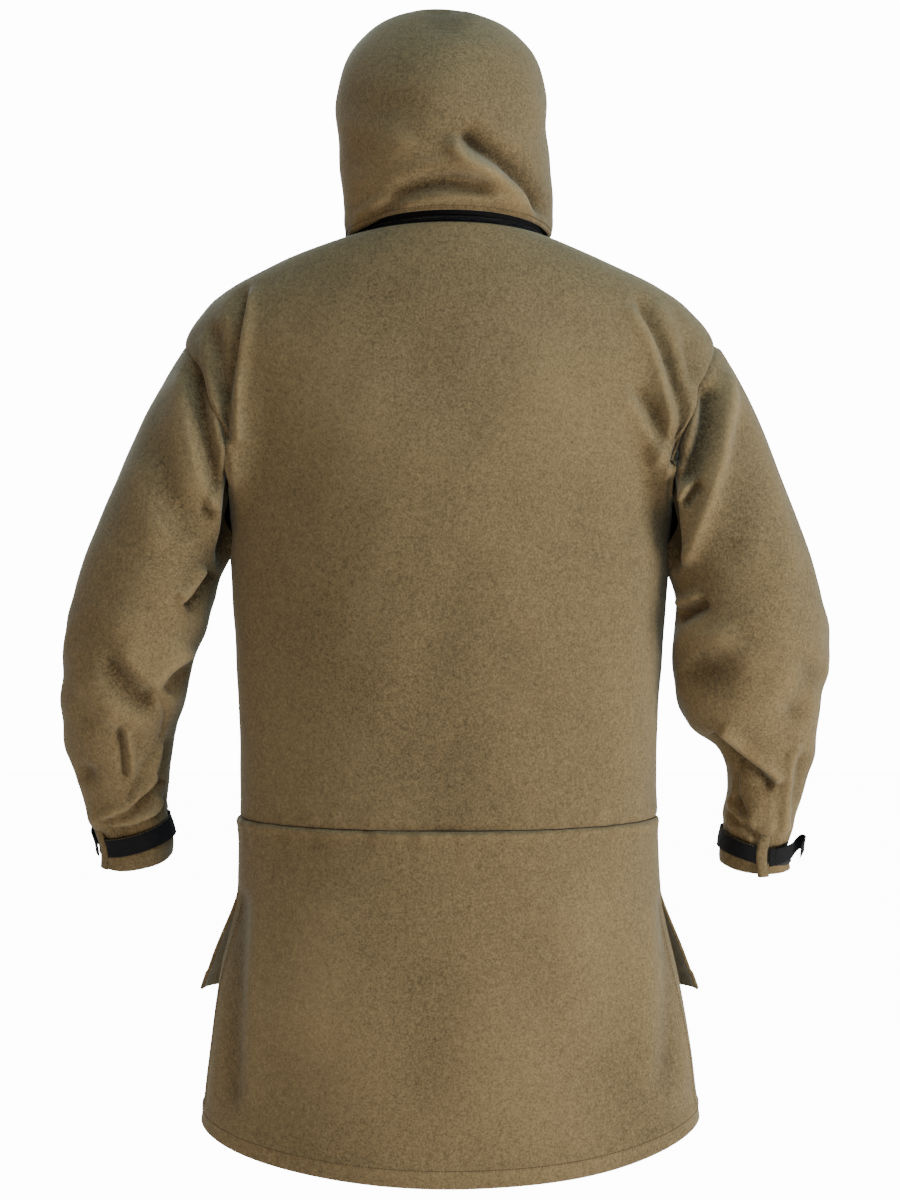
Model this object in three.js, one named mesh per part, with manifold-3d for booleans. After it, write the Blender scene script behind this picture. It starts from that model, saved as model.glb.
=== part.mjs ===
// A hooded fleece smock with a long dropped tail, held in its worn shape with nobody in it.
// Millimetres, +Z up, wearer's left at +X, back of the garment at +Y, front at -Y.
// The origin is the centre of the neck ring, where the hood zips to the body.
import * as THREE from "three";
import { mergeVertices } from "three/addons/utils/BufferGeometryUtils.js";
import Module from "manifold-3d";

const wasm = await Module();
wasm.setup();

// ---- driving dimensions ----
const FLEECE = 4; // cloth thickness
const SEAM_GAP = 0.5; // space left between pieces that are sewn edge to edge
const WEBBING = 1.6; // thickness of the black webbing
const NECK_TILT = 12; // degrees: the back of the neck ring is higher than its front
const NECK_RADIUS = 98; // outside of the hood zip's tapes
const WAIST_Z = -601;
const VENT_Z = -684; // top of the two side vents
const FRONT_HEM_Z = -800;
const TAIL_HEM_Z = -917; // at the vents; the middle of the tail drops further
const TAIL_DROP = 38;
const FRONT_SLOPE = 0.1333; // how far the straight front leans out for each millimetre down
const FRONT_TOP_Y = 97; // depth of the straight front at the origin's height
const CUFF_TOP_T = 7.15; // sleeve station where the cuff starts
const ELBOW_CUT_T = 3; // sleeve station where the shoulder part ends

const rad = THREE.MathUtils.degToRad;
const vec = (x, y, z) => new THREE.Vector3(x, y, z);

// ---- stations: each row is one level of the cloth's outer surface ----
// Torso rings: height at the side seam, half width, depth of the back, tilt in degrees.
const TORSO = [
  { z: -8, half: 101.5, back: 101.5, tilt: 12 },
  { z: -9, half: 119, back: 105, tilt: 12 },
  { z: -22, half: 159, back: 110, tilt: 11 },
  { z: -38, half: 196, back: 116, tilt: 9 },
  { z: -54, half: 228, back: 121, tilt: 7 },
  { z: -72, half: 254, back: 126, tilt: 5 },
  { z: -107, half: 277, back: 132, tilt: 2 },
  { z: -150, half: 262, back: 137, tilt: 0 },
  { z: -200, half: 243, back: 140, tilt: 0 },
  { z: -260, half: 231, back: 140, tilt: 0 },
  { z: -330, half: 229, back: 139, tilt: 0 },
  { z: -420, half: 225, back: 136, tilt: 0 },
  { z: -510, half: 221, back: 132, tilt: 0 },
  { z: WAIST_Z + SEAM_GAP, half: 224, back: 132, tilt: 0 },
];
// Skirt rings below the waist seam. The tail and the front share them down to the vents.
const SKIRT = [
  { z: WAIST_Z, half: 224, back: 132, tilt: 0 },
  { z: VENT_Z, half: 225, back: 134, tilt: 0 },
  { z: -760, half: 238, back: 137, tilt: 0 },
  { z: -840, half: 249, back: 140, tilt: 0 },
  { z: TAIL_HEM_Z, half: 257, back: 142, tilt: 0 },
];
// Hood rings from the zip up to the crown, with a depth of their own in front.
const HOOD = [
  { z: 4, half: 103.5, back: 103.5, front: 103.5, tilt: 12 },
  { z: 25, half: 105.5, back: 108, front: 108, tilt: 9 },
  { z: 56, half: 108, back: 114, front: 113, tilt: 5 },
  { z: 88, half: 109, back: 119, front: 117, tilt: 2 },
  { z: 120, half: 109.5, back: 121, front: 119, tilt: 0 },
  { z: 151, half: 108, back: 118, front: 117, tilt: 0 },
  { z: 182, half: 100, back: 107, front: 110, tilt: 0 },
  { z: 203, half: 87, back: 92, front: 97, tilt: 0 },
  { z: 224, half: 63, back: 66, front: 72, tilt: 0 },
  { z: 237, half: 30, back: 32, front: 36, tilt: 0 },
  { z: 241, half: 0, back: 0, front: 0, tilt: 0 },
];
// Left sleeve: centre of each section, its half width outwards and its half depth.
const SLEEVE = [
  { x: 198, y: 0, z: -150, wide: 90, deep: 88 },
  { x: 240, y: 2, z: -214, wide: 86, deep: 88 },
  { x: 282, y: 6, z: -284, wide: 75, deep: 84 },
  { x: 311, y: 10, z: -352, wide: 72, deep: 80 },
  { x: 325, y: 8, z: -420, wide: 75, deep: 78 },
  { x: 335, y: 0, z: -485, wide: 67, deep: 70 },
  { x: 340, y: -12, z: -540, wide: 51, deep: 54 },
  { x: 338, y: -22, z: -585, wide: 42, deep: 46 },
  { x: 333, y: -30, z: -625, wide: 39, deep: 42 },
  { x: 330, y: -36, z: -656, wide: 39, deep: 42 },
];

// Smooth value of one column of a station list at a fractional row number.
function smooth(list, key, t) {
  const i = Math.min(Math.floor(t), list.length - 2);
  const f = t - i;
  const at = (k) => list[Math.max(0, Math.min(list.length - 1, k))][key];
  const [p, a, b, n] = [at(i - 1), at(i), at(i + 1), at(i + 2)];
  const before = (b - p) / 2;
  const after = (n - a) / 2;
  const f2 = f * f;
  const f3 = f2 * f;
  return (
    a * (2 * f3 - 3 * f2 + 1) + before * (f3 - 2 * f2 + f) + b * (3 * f2 - 2 * f3) + after * (f3 - f2)
  );
}

// Row number at which a list passes a height.
function rowAtHeight(list, z) {
  for (let t = 0; t < list.length - 1; t += 0.01) {
    if (smooth(list, "z", t) <= z) return t;
  }
  return list.length - 1;
}

// A point of a ring list. The angle runs from +X (0) over the back (90) to -X (180) and the front (270).
function ringPoint(list, t, degrees, grow = 0) {
  const tilt = Math.tan(rad(smooth(list, "tilt", t)));
  const sine = Math.sin(rad(degrees));
  const z = smooth(list, "z", t);
  let depth = smooth(list, "back", t);
  if (sine < 0) {
    const straight = (FRONT_TOP_Y - FRONT_SLOPE * z) / (1 - FRONT_SLOPE * tilt);
    depth = list[0].front ? smooth(list, "front", t) : Math.min(straight, depth);
  }
  depth += grow;
  const half = smooth(list, "half", t) + grow;
  return vec(half * Math.cos(rad(degrees)), depth * sine, z + tilt * depth * sine);
}

// A point of the left sleeve. The angle runs from outwards (0) over the back (90) to inwards (180).
function sleevePoint(t, degrees, grow = 0) {
  const centre = vec(smooth(SLEEVE, "x", t), smooth(SLEEVE, "y", t), smooth(SLEEVE, "z", t));
  const { out, back } = sleeveAxes(t);
  return centre
    .addScaledVector(out, (smooth(SLEEVE, "wide", t) + grow) * Math.cos(rad(degrees)))
    .addScaledVector(back, (smooth(SLEEVE, "deep", t) + grow) * Math.sin(rad(degrees)));
}

function sleeveAxes(t) {
  const at = (k) => vec(smooth(SLEEVE, "x", k), smooth(SLEEVE, "y", k), smooth(SLEEVE, "z", k));
  const last = SLEEVE.length - 1;
  const down = at(Math.min(last, t + 0.1)).sub(at(Math.max(0, t - 0.1))).normalize();
  const out = vec(-down.z, 0, down.x).normalize();
  return { out, back: out.clone().cross(down) };
}

// ---- building blocks ----
// Triangles of a grid of points; u runs round and v runs down, so that the faces point out.
function grid(point, uFrom, uTo, uSteps, vFrom, vTo, vSteps) {
  const positions = [];
  const index = [];
  for (let j = 0; j <= vSteps; j++) {
    for (let i = 0; i <= uSteps; i++) {
      const u = uFrom + ((uTo - uFrom) * i) / uSteps;
      const v = vFrom + ((vTo - vFrom) * j) / vSteps;
      positions.push(...point(u, v).toArray());
    }
  }
  for (let j = 0; j < vSteps; j++) {
    for (let i = 0; i < uSteps; i++) {
      const a = j * (uSteps + 1) + i;
      const below = a + uSteps + 1;
      index.push(a, below, a + 1, a + 1, below, below + 1);
    }
  }
  const geometry = new THREE.BufferGeometry();
  geometry.setAttribute("position", new THREE.Float32BufferAttribute(positions, 3));
  geometry.setIndex(index);
  return geometry;
}

// Turns every face of a grid round, for one whose v runs up.
function flipped(geometry) {
  const index = Array.from(geometry.index.array);
  for (let i = 0; i < index.length; i += 3) [index[i + 1], index[i + 2]] = [index[i + 2], index[i + 1]];
  geometry.setIndex(index);
  return geometry;
}

// The three corners of each triangle that has an area.
function triangles(geometry) {
  const index = geometry.index.array;
  const found = [];
  for (let i = 0; i < index.length; i += 3) {
    const [a, b, c] = [index[i], index[i + 1], index[i + 2]];
    if (a !== b && b !== c && c !== a) found.push([a, b, c]);
  }
  return found;
}

// Gives an open sheet its cloth thickness, inwards, and closes it round its edges.
function thicken(sheet, thickness) {
  const outer = mergeVertices(sheet, 0.01);
  outer.computeVertexNormals();
  const { position, normal } = outer.attributes;
  const count = position.count;
  const points = Array.from(position.array);
  for (let i = 0; i < count; i++) {
    points.push(
      position.getX(i) - normal.getX(i) * thickness,
      position.getY(i) - normal.getY(i) * thickness,
      position.getZ(i) - normal.getZ(i) * thickness,
    );
  }
  const faces = triangles(outer);
  const edges = new Set(faces.flatMap(([a, b, c]) => [`${a},${b}`, `${b},${c}`, `${c},${a}`]));
  const index = [];
  for (const [a, b, c] of faces) {
    index.push(a, b, c, a + count, c + count, b + count);
    for (const [p, q] of [[a, b], [b, c], [c, a]]) {
      if (!edges.has(`${q},${p}`)) index.push(q, p, p + count, q, p + count, q + count);
    }
  }
  const solid = new THREE.BufferGeometry();
  solid.setAttribute("position", new THREE.Float32BufferAttribute(points, 3));
  solid.setIndex(index);
  return solid;
}

// Closes both ends of a round grid with a fan to the middle of each end, as a filled body.
function filled(sheet) {
  const shell = mergeVertices(sheet, 0.01);
  const position = shell.attributes.position;
  const faces = triangles(shell);
  const edges = new Set(faces.flatMap(([a, b, c]) => [`${a},${b}`, `${b},${c}`, `${c},${a}`]));
  const rim = faces
    .flatMap(([a, b, c]) => [[a, b], [b, c], [c, a]])
    .filter(([p, q]) => !edges.has(`${q},${p}`));
  const next = new Map(rim);
  const points = Array.from(position.array);
  const index = faces.flat();
  const used = new Set();
  for (const [start] of rim) {
    if (used.has(start)) continue;
    const loop = [];
    for (let p = start; !used.has(p); p = next.get(p)) {
      used.add(p);
      loop.push(p);
    }
    const middle = vec(0, 0, 0);
    loop.forEach((p) => middle.add(vec(position.getX(p), position.getY(p), position.getZ(p))));
    const hub = points.length / 3;
    points.push(...middle.divideScalar(loop.length).toArray());
    loop.forEach((p) => index.push(next.get(p), p, hub));
  }
  const solid = new THREE.BufferGeometry();
  solid.setAttribute("position", new THREE.Float32BufferAttribute(points, 3));
  solid.setIndex(index);
  return solid;
}

// A three.js geometry as a manifold-3d solid, and back.
function toSolid(geometry) {
  const bare = geometry.clone();
  for (const name of ["normal", "uv"]) bare.deleteAttribute(name);
  const merged = mergeVertices(bare, 1e-4);
  const triVerts = new Uint32Array(triangles(merged).flat());
  return new wasm.Manifold(
    new wasm.Mesh({ numProp: 3, vertProperties: merged.attributes.position.array, triVerts }),
  );
}

function toGeometry(solid) {
  const mesh = solid.getMesh();
  const geometry = new THREE.BufferGeometry();
  const points = new Float32Array(mesh.numVert * 3);
  for (let i = 0; i < mesh.numVert; i++) {
    points.set(mesh.vertProperties.subarray(i * mesh.numProp, i * mesh.numProp + 3), i * 3);
  }
  geometry.setAttribute("position", new THREE.BufferAttribute(points, 3));
  geometry.setIndex(new THREE.BufferAttribute(mesh.triVerts, 1));
  geometry.computeVertexNormals();
  return geometry;
}

function cut(geometry, ...tools) {
  return toGeometry(tools.reduce((left, tool) => left.subtract(toSolid(tool)), toSolid(geometry)));
}

function keep(geometry, tool) {
  return toGeometry(toSolid(geometry).intersect(toSolid(tool)));
}

function block(x0, x1, y0, y1, z0, z1) {
  return new THREE.BoxGeometry(x1 - x0, y1 - y0, z1 - z0).translate(
    (x0 + x1) / 2,
    (y0 + y1) / 2,
    (z0 + z1) / 2,
  );
}

const mirrored = (geometry) => {
  const copy = toGeometry(toSolid(geometry)).scale(-1, 1, 1);
  return flipped(copy);
};

// ---- materials ----
const fleece = new THREE.MeshStandardMaterial({ color: 0x7a6846, roughness: 0.95 });
const fleeceFacing = new THREE.MeshStandardMaterial({ color: 0x6b5b3e, roughness: 0.95 });
const webbing = new THREE.MeshStandardMaterial({ color: 0x17181b, roughness: 0.75 });
const zipTape = new THREE.MeshStandardMaterial({ color: 0x14151a, roughness: 0.8 });
const zipCoil = new THREE.MeshStandardMaterial({ color: 0x1c2027, roughness: 0.4 });
const zipMetal = new THREE.MeshStandardMaterial({ color: 0x2a2b2e, roughness: 0.35, metalness: 0.9 });
const hookTape = new THREE.MeshStandardMaterial({ color: 0x101012, roughness: 0.9 });

const garment = new THREE.Group();
function add(name, geometry, material, parent = garment) {
  const mesh = new THREE.Mesh(geometry, material);
  mesh.name = name;
  parent.add(mesh);
  return mesh;
}

// ---- body of the smock ----
const HALF_STEPS = 16; // facets round one half of the body
const OVERRUN = 8; // degrees that a panel runs past its side seams before it is trimmed
const BACK_HALF = block(-400, 400, SEAM_GAP / 2, 200, -1000, 100);
const FRONT_HALF = block(-400, 400, -200, -SEAM_GAP / 2, -1000, 100);

const backSheet = (point, fromT, toT, rows) =>
  keep(thicken(grid(point, -OVERRUN, 180 + OVERRUN, HALF_STEPS, fromT, toT, rows), FLEECE), BACK_HALF);
const frontSheet = (point, fromT, toT, rows) =>
  keep(thicken(grid(point, 180 - OVERRUN, 360 + OVERRUN, HALF_STEPS, fromT, toT, rows), FLEECE), FRONT_HALF);
const onTorso = (u, v) => ringPoint(TORSO, v, u);

const wholeTorso = (grow) =>
  filled(grid((u, v) => ringPoint(TORSO, v, u, grow), 0, 360, HALF_STEPS * 2, 0, lastTorso, 20));
const SLEEVE_STEPS = 20;
const wholeSleeve = (grow) =>
  filled(grid((u, v) => sleevePoint(v, u, grow), 0, 360, SLEEVE_STEPS, 0, ELBOW_CUT_T, 7));

const armholeLeft = wholeSleeve(SEAM_GAP);
const armholeRight = mirrored(armholeLeft);
const torsoTop = 0.1; // row at which the neck edge lies
const lastTorso = TORSO.length - 1;

function frontProfileY(z) {
  return -(FRONT_TOP_Y - FRONT_SLOPE * z);
}

// ---- front zip: straight down the middle of the leaning front ----
const CHAIN_TOP = 22;
const CHAIN_BOTTOM = -286;
const CHAIN_HALF = 3; // half width of the closed coil
const TAPE_HALF = 14;
const zipFrame = new THREE.Group(); // its -Z runs down the zip and its -Y points out of the garment
zipFrame.position.set(0, frontProfileY(0) - 0.6, 0);
zipFrame.rotation.x = -Math.atan(FRONT_SLOPE);
garment.add(zipFrame);
zipFrame.updateMatrixWorld(true);
const toZip = (geometry) => geometry.clone().applyMatrix4(zipFrame.matrixWorld);
const ZIP_SLOT = toZip(block(-CHAIN_HALF - 3, CHAIN_HALF + 3, -20, 20, CHAIN_BOTTOM - 4, 60));
const TAPE_BED = toZip(block(-TAPE_HALF - 1, TAPE_HALF + 1, 0.4, 3.2, CHAIN_BOTTOM - 14, 60));

const TORSO_ROWS = 16;
add("back_panel", cut(backSheet(onTorso, torsoTop, lastTorso, TORSO_ROWS), armholeLeft, armholeRight), fleece);
add(
  "front_panel",
  cut(frontSheet(onTorso, torsoTop, lastTorso, TORSO_ROWS), armholeLeft, armholeRight, ZIP_SLOT, TAPE_BED),
  fleece,
);

for (const side of [-1, 1]) {
  const [x0, x1] = side < 0 ? [-TAPE_HALF, -0.6] : [0.6, TAPE_HALF];
  const name = side < 0 ? "right" : "left";
  const tape = cut(
    block(x0, x1, 0.8, 2.0, CHAIN_BOTTOM - 10, CHAIN_TOP + 4),
    block(-CHAIN_HALF - 0.4, CHAIN_HALF + 0.4, 0, 3, CHAIN_BOTTOM - 4, CHAIN_TOP + 1),
  );
  add(`front_zip_tape_${name}`, tape, zipTape, zipFrame);
  const coil = block(side < 0 ? -CHAIN_HALF : 0.2, side < 0 ? -0.2 : CHAIN_HALF, -0.2, 2.2, CHAIN_BOTTOM, CHAIN_TOP);
  add(`front_zip_coil_${name}`, coil, zipCoil, zipFrame);
}
add("front_zip_bottom_stop", block(-3, 3, -0.6, 2.4, CHAIN_BOTTOM - 3.5, CHAIN_BOTTOM - 0.4), zipMetal, zipFrame);

// A slider is a saddle that straddles the coil from outside, with a bridge on top for its puller.
function sliderShape(half, long) {
  const outline = new THREE.Shape();
  outline.moveTo(-half, -long / 2);
  outline.lineTo(-half * 0.72, -long / 2 - 1.5);
  outline.lineTo(half * 0.72, -long / 2 - 1.5);
  outline.lineTo(half, -long / 2);
  outline.lineTo(half, long / 2 - 3);
  outline.quadraticCurveTo(half, long / 2, 0, long / 2 + 1.5);
  outline.quadraticCurveTo(-half, long / 2, -half, long / 2 - 3);
  outline.closePath();
  const body = new THREE.ExtrudeGeometry(outline, { depth: 3.6, bevelEnabled: false, curveSegments: 4 });
  body.rotateX(Math.PI / 2); // the outline's y becomes z and the depth runs out of the garment
  body.translate(0, 0.4, 0);
  const channel = block(-CHAIN_HALF - 0.5, CHAIN_HALF + 0.5, -0.7, 3, -40, 40);
  const bridge = cut(block(-1.6, 1.6, -6, -3, -4.5, 4.5), block(-3, 3, -4.8, -3.2, -2.8, 2.8));
  return toGeometry(toSolid(body).subtract(toSolid(channel)).add(toSolid(bridge)));
}

// A puller hangs from the bridge's bar: a flat tab with an eye at its top.
const PULL_PIVOT = { y: -4, z: -2.05 }; // middle of that bar, from the slider's middle
const PULL_BAR = { low: 0.7, high: 1.6 };
function pullerShape(length) {
  const outline = new THREE.Shape();
  outline.moveTo(-3, PULL_BAR.high);
  outline.lineTo(3, PULL_BAR.high);
  outline.lineTo(4, -length * 0.55);
  outline.lineTo(3.4, -length);
  outline.lineTo(-3.4, -length);
  outline.lineTo(-4, -length * 0.55);
  outline.closePath();
  const eye = new THREE.Path();
  eye.moveTo(-2, PULL_BAR.low);
  eye.lineTo(-2, -5.2);
  eye.lineTo(2, -5.2);
  eye.lineTo(2, PULL_BAR.low);
  eye.closePath();
  outline.holes.push(eye);
  const tab = new THREE.ExtrudeGeometry(outline, { depth: 1, bevelEnabled: false });
  tab.rotateX(Math.PI / 2);
  return tab.translate(0, PULL_PIVOT.y + 0.5, PULL_PIVOT.z - (PULL_BAR.low + PULL_BAR.high) / 2);
}

const FRONT_SLIDER_Z = 13;
add("front_zip_slider", sliderShape(4.6, 9), zipMetal, zipFrame).position.z = FRONT_SLIDER_Z;
add("front_zip_puller", pullerShape(30), zipMetal, zipFrame).position.z = FRONT_SLIDER_Z;

// ---- neck ring: hood zip, collar and hanging loop, in a frame tilted like the ring ----
const neckFrame = new THREE.Group();
neckFrame.rotation.x = rad(NECK_TILT);
garment.add(neckFrame);
neckFrame.updateMatrixWorld(true);
const ZIP_FROM = -74; // degrees: the hood zip starts left of the front zip, runs over the back and ends right of it
const ZIP_TO = 254;

// A round band standing on the neck ring: outer radius, thickness, and the heights of its two edges.
function neckBand(radius, thickness, low, high, from, to, steps) {
  const point = (u, v) => vec(radius * Math.cos(rad(u)), radius * Math.sin(rad(u)), v);
  return thicken(grid(point, from, to, steps, high, low, 1), thickness);
}

const COIL_LOW = -4.6;
const COIL_HIGH = 1.4;
const COIL_MID = (COIL_LOW + COIL_HIGH) / 2;
add("hood_zip_tape_lower", neckBand(NECK_RADIUS - 1.2, 1, -18, COIL_LOW - 0.4, ZIP_FROM, ZIP_TO, 40), zipTape, neckFrame);
add("hood_zip_tape_upper", neckBand(NECK_RADIUS - 1.2, 1, COIL_HIGH + 0.4, 14, ZIP_FROM, ZIP_TO, 40), zipTape, neckFrame);
add("hood_zip_coil_lower", neckBand(NECK_RADIUS, 2.4, COIL_LOW, COIL_MID - 0.2, ZIP_FROM, ZIP_TO, 40), zipCoil, neckFrame);
add("hood_zip_coil_upper", neckBand(NECK_RADIUS, 2.4, COIL_MID + 0.2, COIL_HIGH, ZIP_FROM, ZIP_TO, 40), zipCoil, neckFrame);

const STOP_ANGLE = { left: ZIP_FROM - 1.4, right: ZIP_TO + 1.4 };
for (const side of ["left", "right"]) {
  const stop = block(-1.6, 1.6, -NECK_RADIUS - 0.6, -NECK_RADIUS + 2.6, COIL_LOW - 0.4, COIL_HIGH + 0.4);
  stop.rotateZ(rad(STOP_ANGLE[side] + 90));
  add(`hood_zip_stop_${side}`, stop, zipMetal, neckFrame);
}

const COLLAR_RADIUS = 94;
const COLLAR_GAP = 10; // degrees each side of the front zip
add(
  "stand_collar",
  neckBand(COLLAR_RADIUS, FLEECE, -14, 44, -90 + COLLAR_GAP, 270 - COLLAR_GAP, 40),
  fleeceFacing,
  neckFrame,
);

// Strip of webbing inside the back of the neck, bowed away from the collar so that a hook passes behind it.
function hangingLoop() {
  const [wide, proud, leg] = [64, 11, 9];
  const outline = new THREE.Shape();
  outline.moveTo(-wide / 2, 0);
  outline.lineTo(-wide / 2 + leg, 0);
  outline.lineTo(-wide / 2 + leg + 4, -proud + WEBBING);
  outline.lineTo(wide / 2 - leg - 4, -proud + WEBBING);
  outline.lineTo(wide / 2 - leg, 0);
  outline.lineTo(wide / 2, 0);
  outline.lineTo(wide / 2, -WEBBING);
  outline.lineTo(wide / 2 - leg + 1, -WEBBING);
  outline.lineTo(wide / 2 - leg - 3, -proud);
  outline.lineTo(-wide / 2 + leg + 3, -proud);
  outline.lineTo(-wide / 2 + leg - 1, -WEBBING);
  outline.lineTo(-wide / 2, -WEBBING);
  outline.closePath();
  return new THREE.ExtrudeGeometry(outline, { depth: 10, bevelEnabled: false });
}
const LOOP_Y = 82; // clears the collar's round inner face at the loop's two ends
const LOOP_Z = 6;
add("hanging_loop", hangingLoop().translate(0, LOOP_Y, LOOP_Z), webbing);

// The hood zip's slider sits at the left front end, and its puller lies back along the coil.
const SLIDER_ANGLE = ZIP_FROM + 4;
const sliderPivot = new THREE.Group();
sliderPivot.rotation.z = rad(SLIDER_ANGLE + 90);
neckFrame.add(sliderPivot);
const sliderSeat = new THREE.Group(); // x across the coil, z along it
sliderSeat.position.set(0, -NECK_RADIUS - 0.2, COIL_MID);
sliderSeat.rotation.y = -Math.PI / 2;
sliderPivot.add(sliderSeat);
add("hood_zip_slider", sliderShape(4.3, 9), zipMetal, sliderSeat);
add("hood_zip_puller", pullerShape(26), zipMetal, sliderSeat);

// ---- hood ----
const CROWN_LOW_T = 2.1;
const FACE_Y = -74;
const BRIM_Y = -92;
const hoodPoint = (u, v) => {
  const p = ringPoint(HOOD, v, u);
  p.x += 8 * THREE.MathUtils.smoothstep(p.z, 20, 120); // the head leans a little to its left
  return p;
};
const hoodShell = (fromT, toT, rows) =>
  thicken(flipped(grid(hoodPoint, 0, 360, 28, fromT, toT, rows)), FLEECE);
const behindFace = block(-200, 200, FACE_Y, 200, -60, 300);
const brimSlice = block(-200, 200, BRIM_Y, FACE_Y - SEAM_GAP, -60, 300);
const crownShell = hoodShell(CROWN_LOW_T, HOOD.length - 1, 11);
add("hood_crown", keep(crownShell, behindFace), fleece);
add("hood_brim", keep(crownShell, brimSlice), fleece);
add("hood_neck", keep(hoodShell(0, CROWN_LOW_T - 0.02, 3), block(-200, 200, BRIM_Y, 200, -60, 300)), fleece);

// ---- skirt ----
const ventT = SKIRT.findIndex((row) => row.z === VENT_Z);
const tailEndT = SKIRT.length - 1;
function tailPoint(u, v) {
  const p = ringPoint(SKIRT, v, u);
  p.z -= TAIL_DROP * Math.max(0, Math.sin(rad(u))) ** 1.2 * (v / tailEndT) ** 2;
  return p;
}
add("tail_panel", backSheet(tailPoint, 0, tailEndT, 8), fleece);

// The front skirt flares out past the tail's edges below the vents.
const frontEndT = rowAtHeight(SKIRT, FRONT_HEM_Z);
function frontSkirtPoint(u, v) {
  const p = ringPoint(SKIRT, v, u);
  const below = Math.max(0, v - ventT) / (frontEndT - ventT);
  const side = Math.abs(Math.cos(rad(u)));
  p.x *= 1 + 0.09 * below * side ** 4;
  p.y -= 6 * below;
  p.z += 26 * below * side ** 3;
  return p;
}
add("front_skirt_panel", frontSheet(frontSkirtPoint, 0, frontEndT, 7), fleece);

// ---- pouch pocket on the front, under a flap ----
const POUCH = { half: 33, topZ: -425, bottomZ: -588, gape: 14 }; // half is degrees either side of the middle
const pouchT = { top: rowAtHeight(TORSO, POUCH.topZ), bottom: rowAtHeight(TORSO, POUCH.bottomZ) };
const pouchOff = (u, v) => {
  const across = Math.cos(((u - 270) / POUCH.half) * (Math.PI / 2)) ** 0.7;
  const down = (v - pouchT.top) / (pouchT.bottom - pouchT.top);
  return FLEECE + 0.8 + POUCH.gape * Math.max(0, across) * (1 - down ** 3);
};
const onFront = (off) => (u, v) => ringPoint(TORSO, v, u, off(u, v));
add(
  "pouch_pocket",
  thicken(
    grid(onFront(pouchOff), 270 - POUCH.half, 270 + POUCH.half, 14, pouchT.top, pouchT.bottom, 6),
    FLEECE,
  ),
  fleece,
);
const FLAP = { topZ: -400, bottomZ: -475, half: 32 };
const flapT = { top: rowAtHeight(TORSO, FLAP.topZ), bottom: rowAtHeight(TORSO, FLAP.bottomZ) };
const flapOff = (u, v) => {
  const down = (v - flapT.top) / (flapT.bottom - flapT.top);
  const rise = THREE.MathUtils.smoothstep(down, 0, 0.3);
  const overPouch = pouchOff(u, Math.max(v, pouchT.top)) + FLEECE + 1.2;
  return THREE.MathUtils.lerp(FLEECE + 0.8, overPouch, rise);
};
add(
  "pocket_flap",
  thicken(grid(onFront(flapOff), 270 - FLAP.half, 270 + FLAP.half, 14, flapT.top, flapT.bottom, 6), FLEECE),
  fleece,
);

// ---- sleeves: made for the left arm and mirrored for the right ----
// The forearms are turned differently, so that the cuff's seam lies outwards on the left arm and behind on the right.
const SIDES = [
  { name: "left", place: (geometry) => geometry, cuffTurn: -64 },
  { name: "right", place: mirrored, cuffTurn: 0 },
];
const bothSides = (name, make, material) => {
  for (const side of SIDES) add(`${name}_${side.name}`, side.place(make(side.cuffTurn)), material);
};
const sleevePart = (from, to, steps, fromT, toT, rows, grow, thickness) =>
  thicken(grid((u, v) => sleevePoint(v, u, grow), from, to, steps, fromT, toT, rows), thickness);
const tube = (fromT, toT, rows) => sleevePart(0, 360, SLEEVE_STEPS, fromT, toT, rows, 0, FLEECE);

const headTube = cut(tube(0, ELBOW_CUT_T, 7), wholeTorso(SEAM_GAP));
const bodiesOf = (geometry, order) => toSolid(geometry).decompose().sort(order).map(toGeometry);
const [sleeveHead] = bodiesOf(headTube, (a, b) => b.volume() - a.volume());
bothSides("sleeve_head", () => sleeveHead, fleece);

// The lower sleeve is split along two seams into an outer and an under piece.
const SEAMS = [100, 285];
const ARM_GAP_T = 0.012; // stations left free above and below the lower sleeve
const [lowerTop, lowerEnd] = [ELBOW_CUT_T + ARM_GAP_T, CUFF_TOP_T - ARM_GAP_T];
function seamBlade(degrees) {
  const point = (reach, v) => sleevePoint(v, degrees, 0).lerp(sleevePoint(v, degrees + 180, 0), 0.3 - reach);
  return thicken(grid(point, 0, 0.5, 1, lowerTop - 0.1, lowerEnd + 0.1, 12), SEAM_GAP);
}
const lowerSleeve = cut(tube(lowerTop, lowerEnd, 9), ...SEAMS.map(seamBlade));
const [sleeveOuter, sleeveUnder] = bodiesOf(
  lowerSleeve,
  (a, b) => b.boundingBox().max[0] - a.boundingBox().max[0],
);
bothSides("sleeve_outer", () => sleeveOuter, fleece);
bothSides("sleeve_under", () => sleeveUnder, fleece);
const lastT = SLEEVE.length - 1;
bothSides("cuff", () => tube(CUFF_TOP_T, lastT, 3), fleece);

// Webbing round the cuff: a sewn band, a cloth strip over its end, a hook patch and a loose tab over it.
const bandT = { top: 7.62, bottom: 8.3 };
const STRIP = { from: 90, to: 104 }; // degrees, before the forearm's turn
const bandGrow = WEBBING + 0.9;
bothSides(
  "cuff_band",
  (turn) => sleevePart(STRIP.to + 1 + turn, 346 + turn, 14, bandT.top, bandT.bottom, 1, bandGrow, WEBBING),
  webbing,
);
bothSides(
  "cuff_seam_strip",
  (turn) =>
    sleevePart(STRIP.from + turn, STRIP.to + turn, 2, CUFF_TOP_T + 0.05, lastT, 3, FLEECE + 0.9, FLEECE),
  fleece,
);
bothSides(
  "cuff_hook_patch",
  (turn) => sleevePart(12 + turn, 82 + turn, 6, bandT.top + 0.03, bandT.bottom - 0.03, 1, bandGrow, 1.2),
  hookTape,
);
const TAB = { from: -12, to: 88, rise: 0.3, lift: 9 }; // its free end climbs and stands off the cuff
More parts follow.
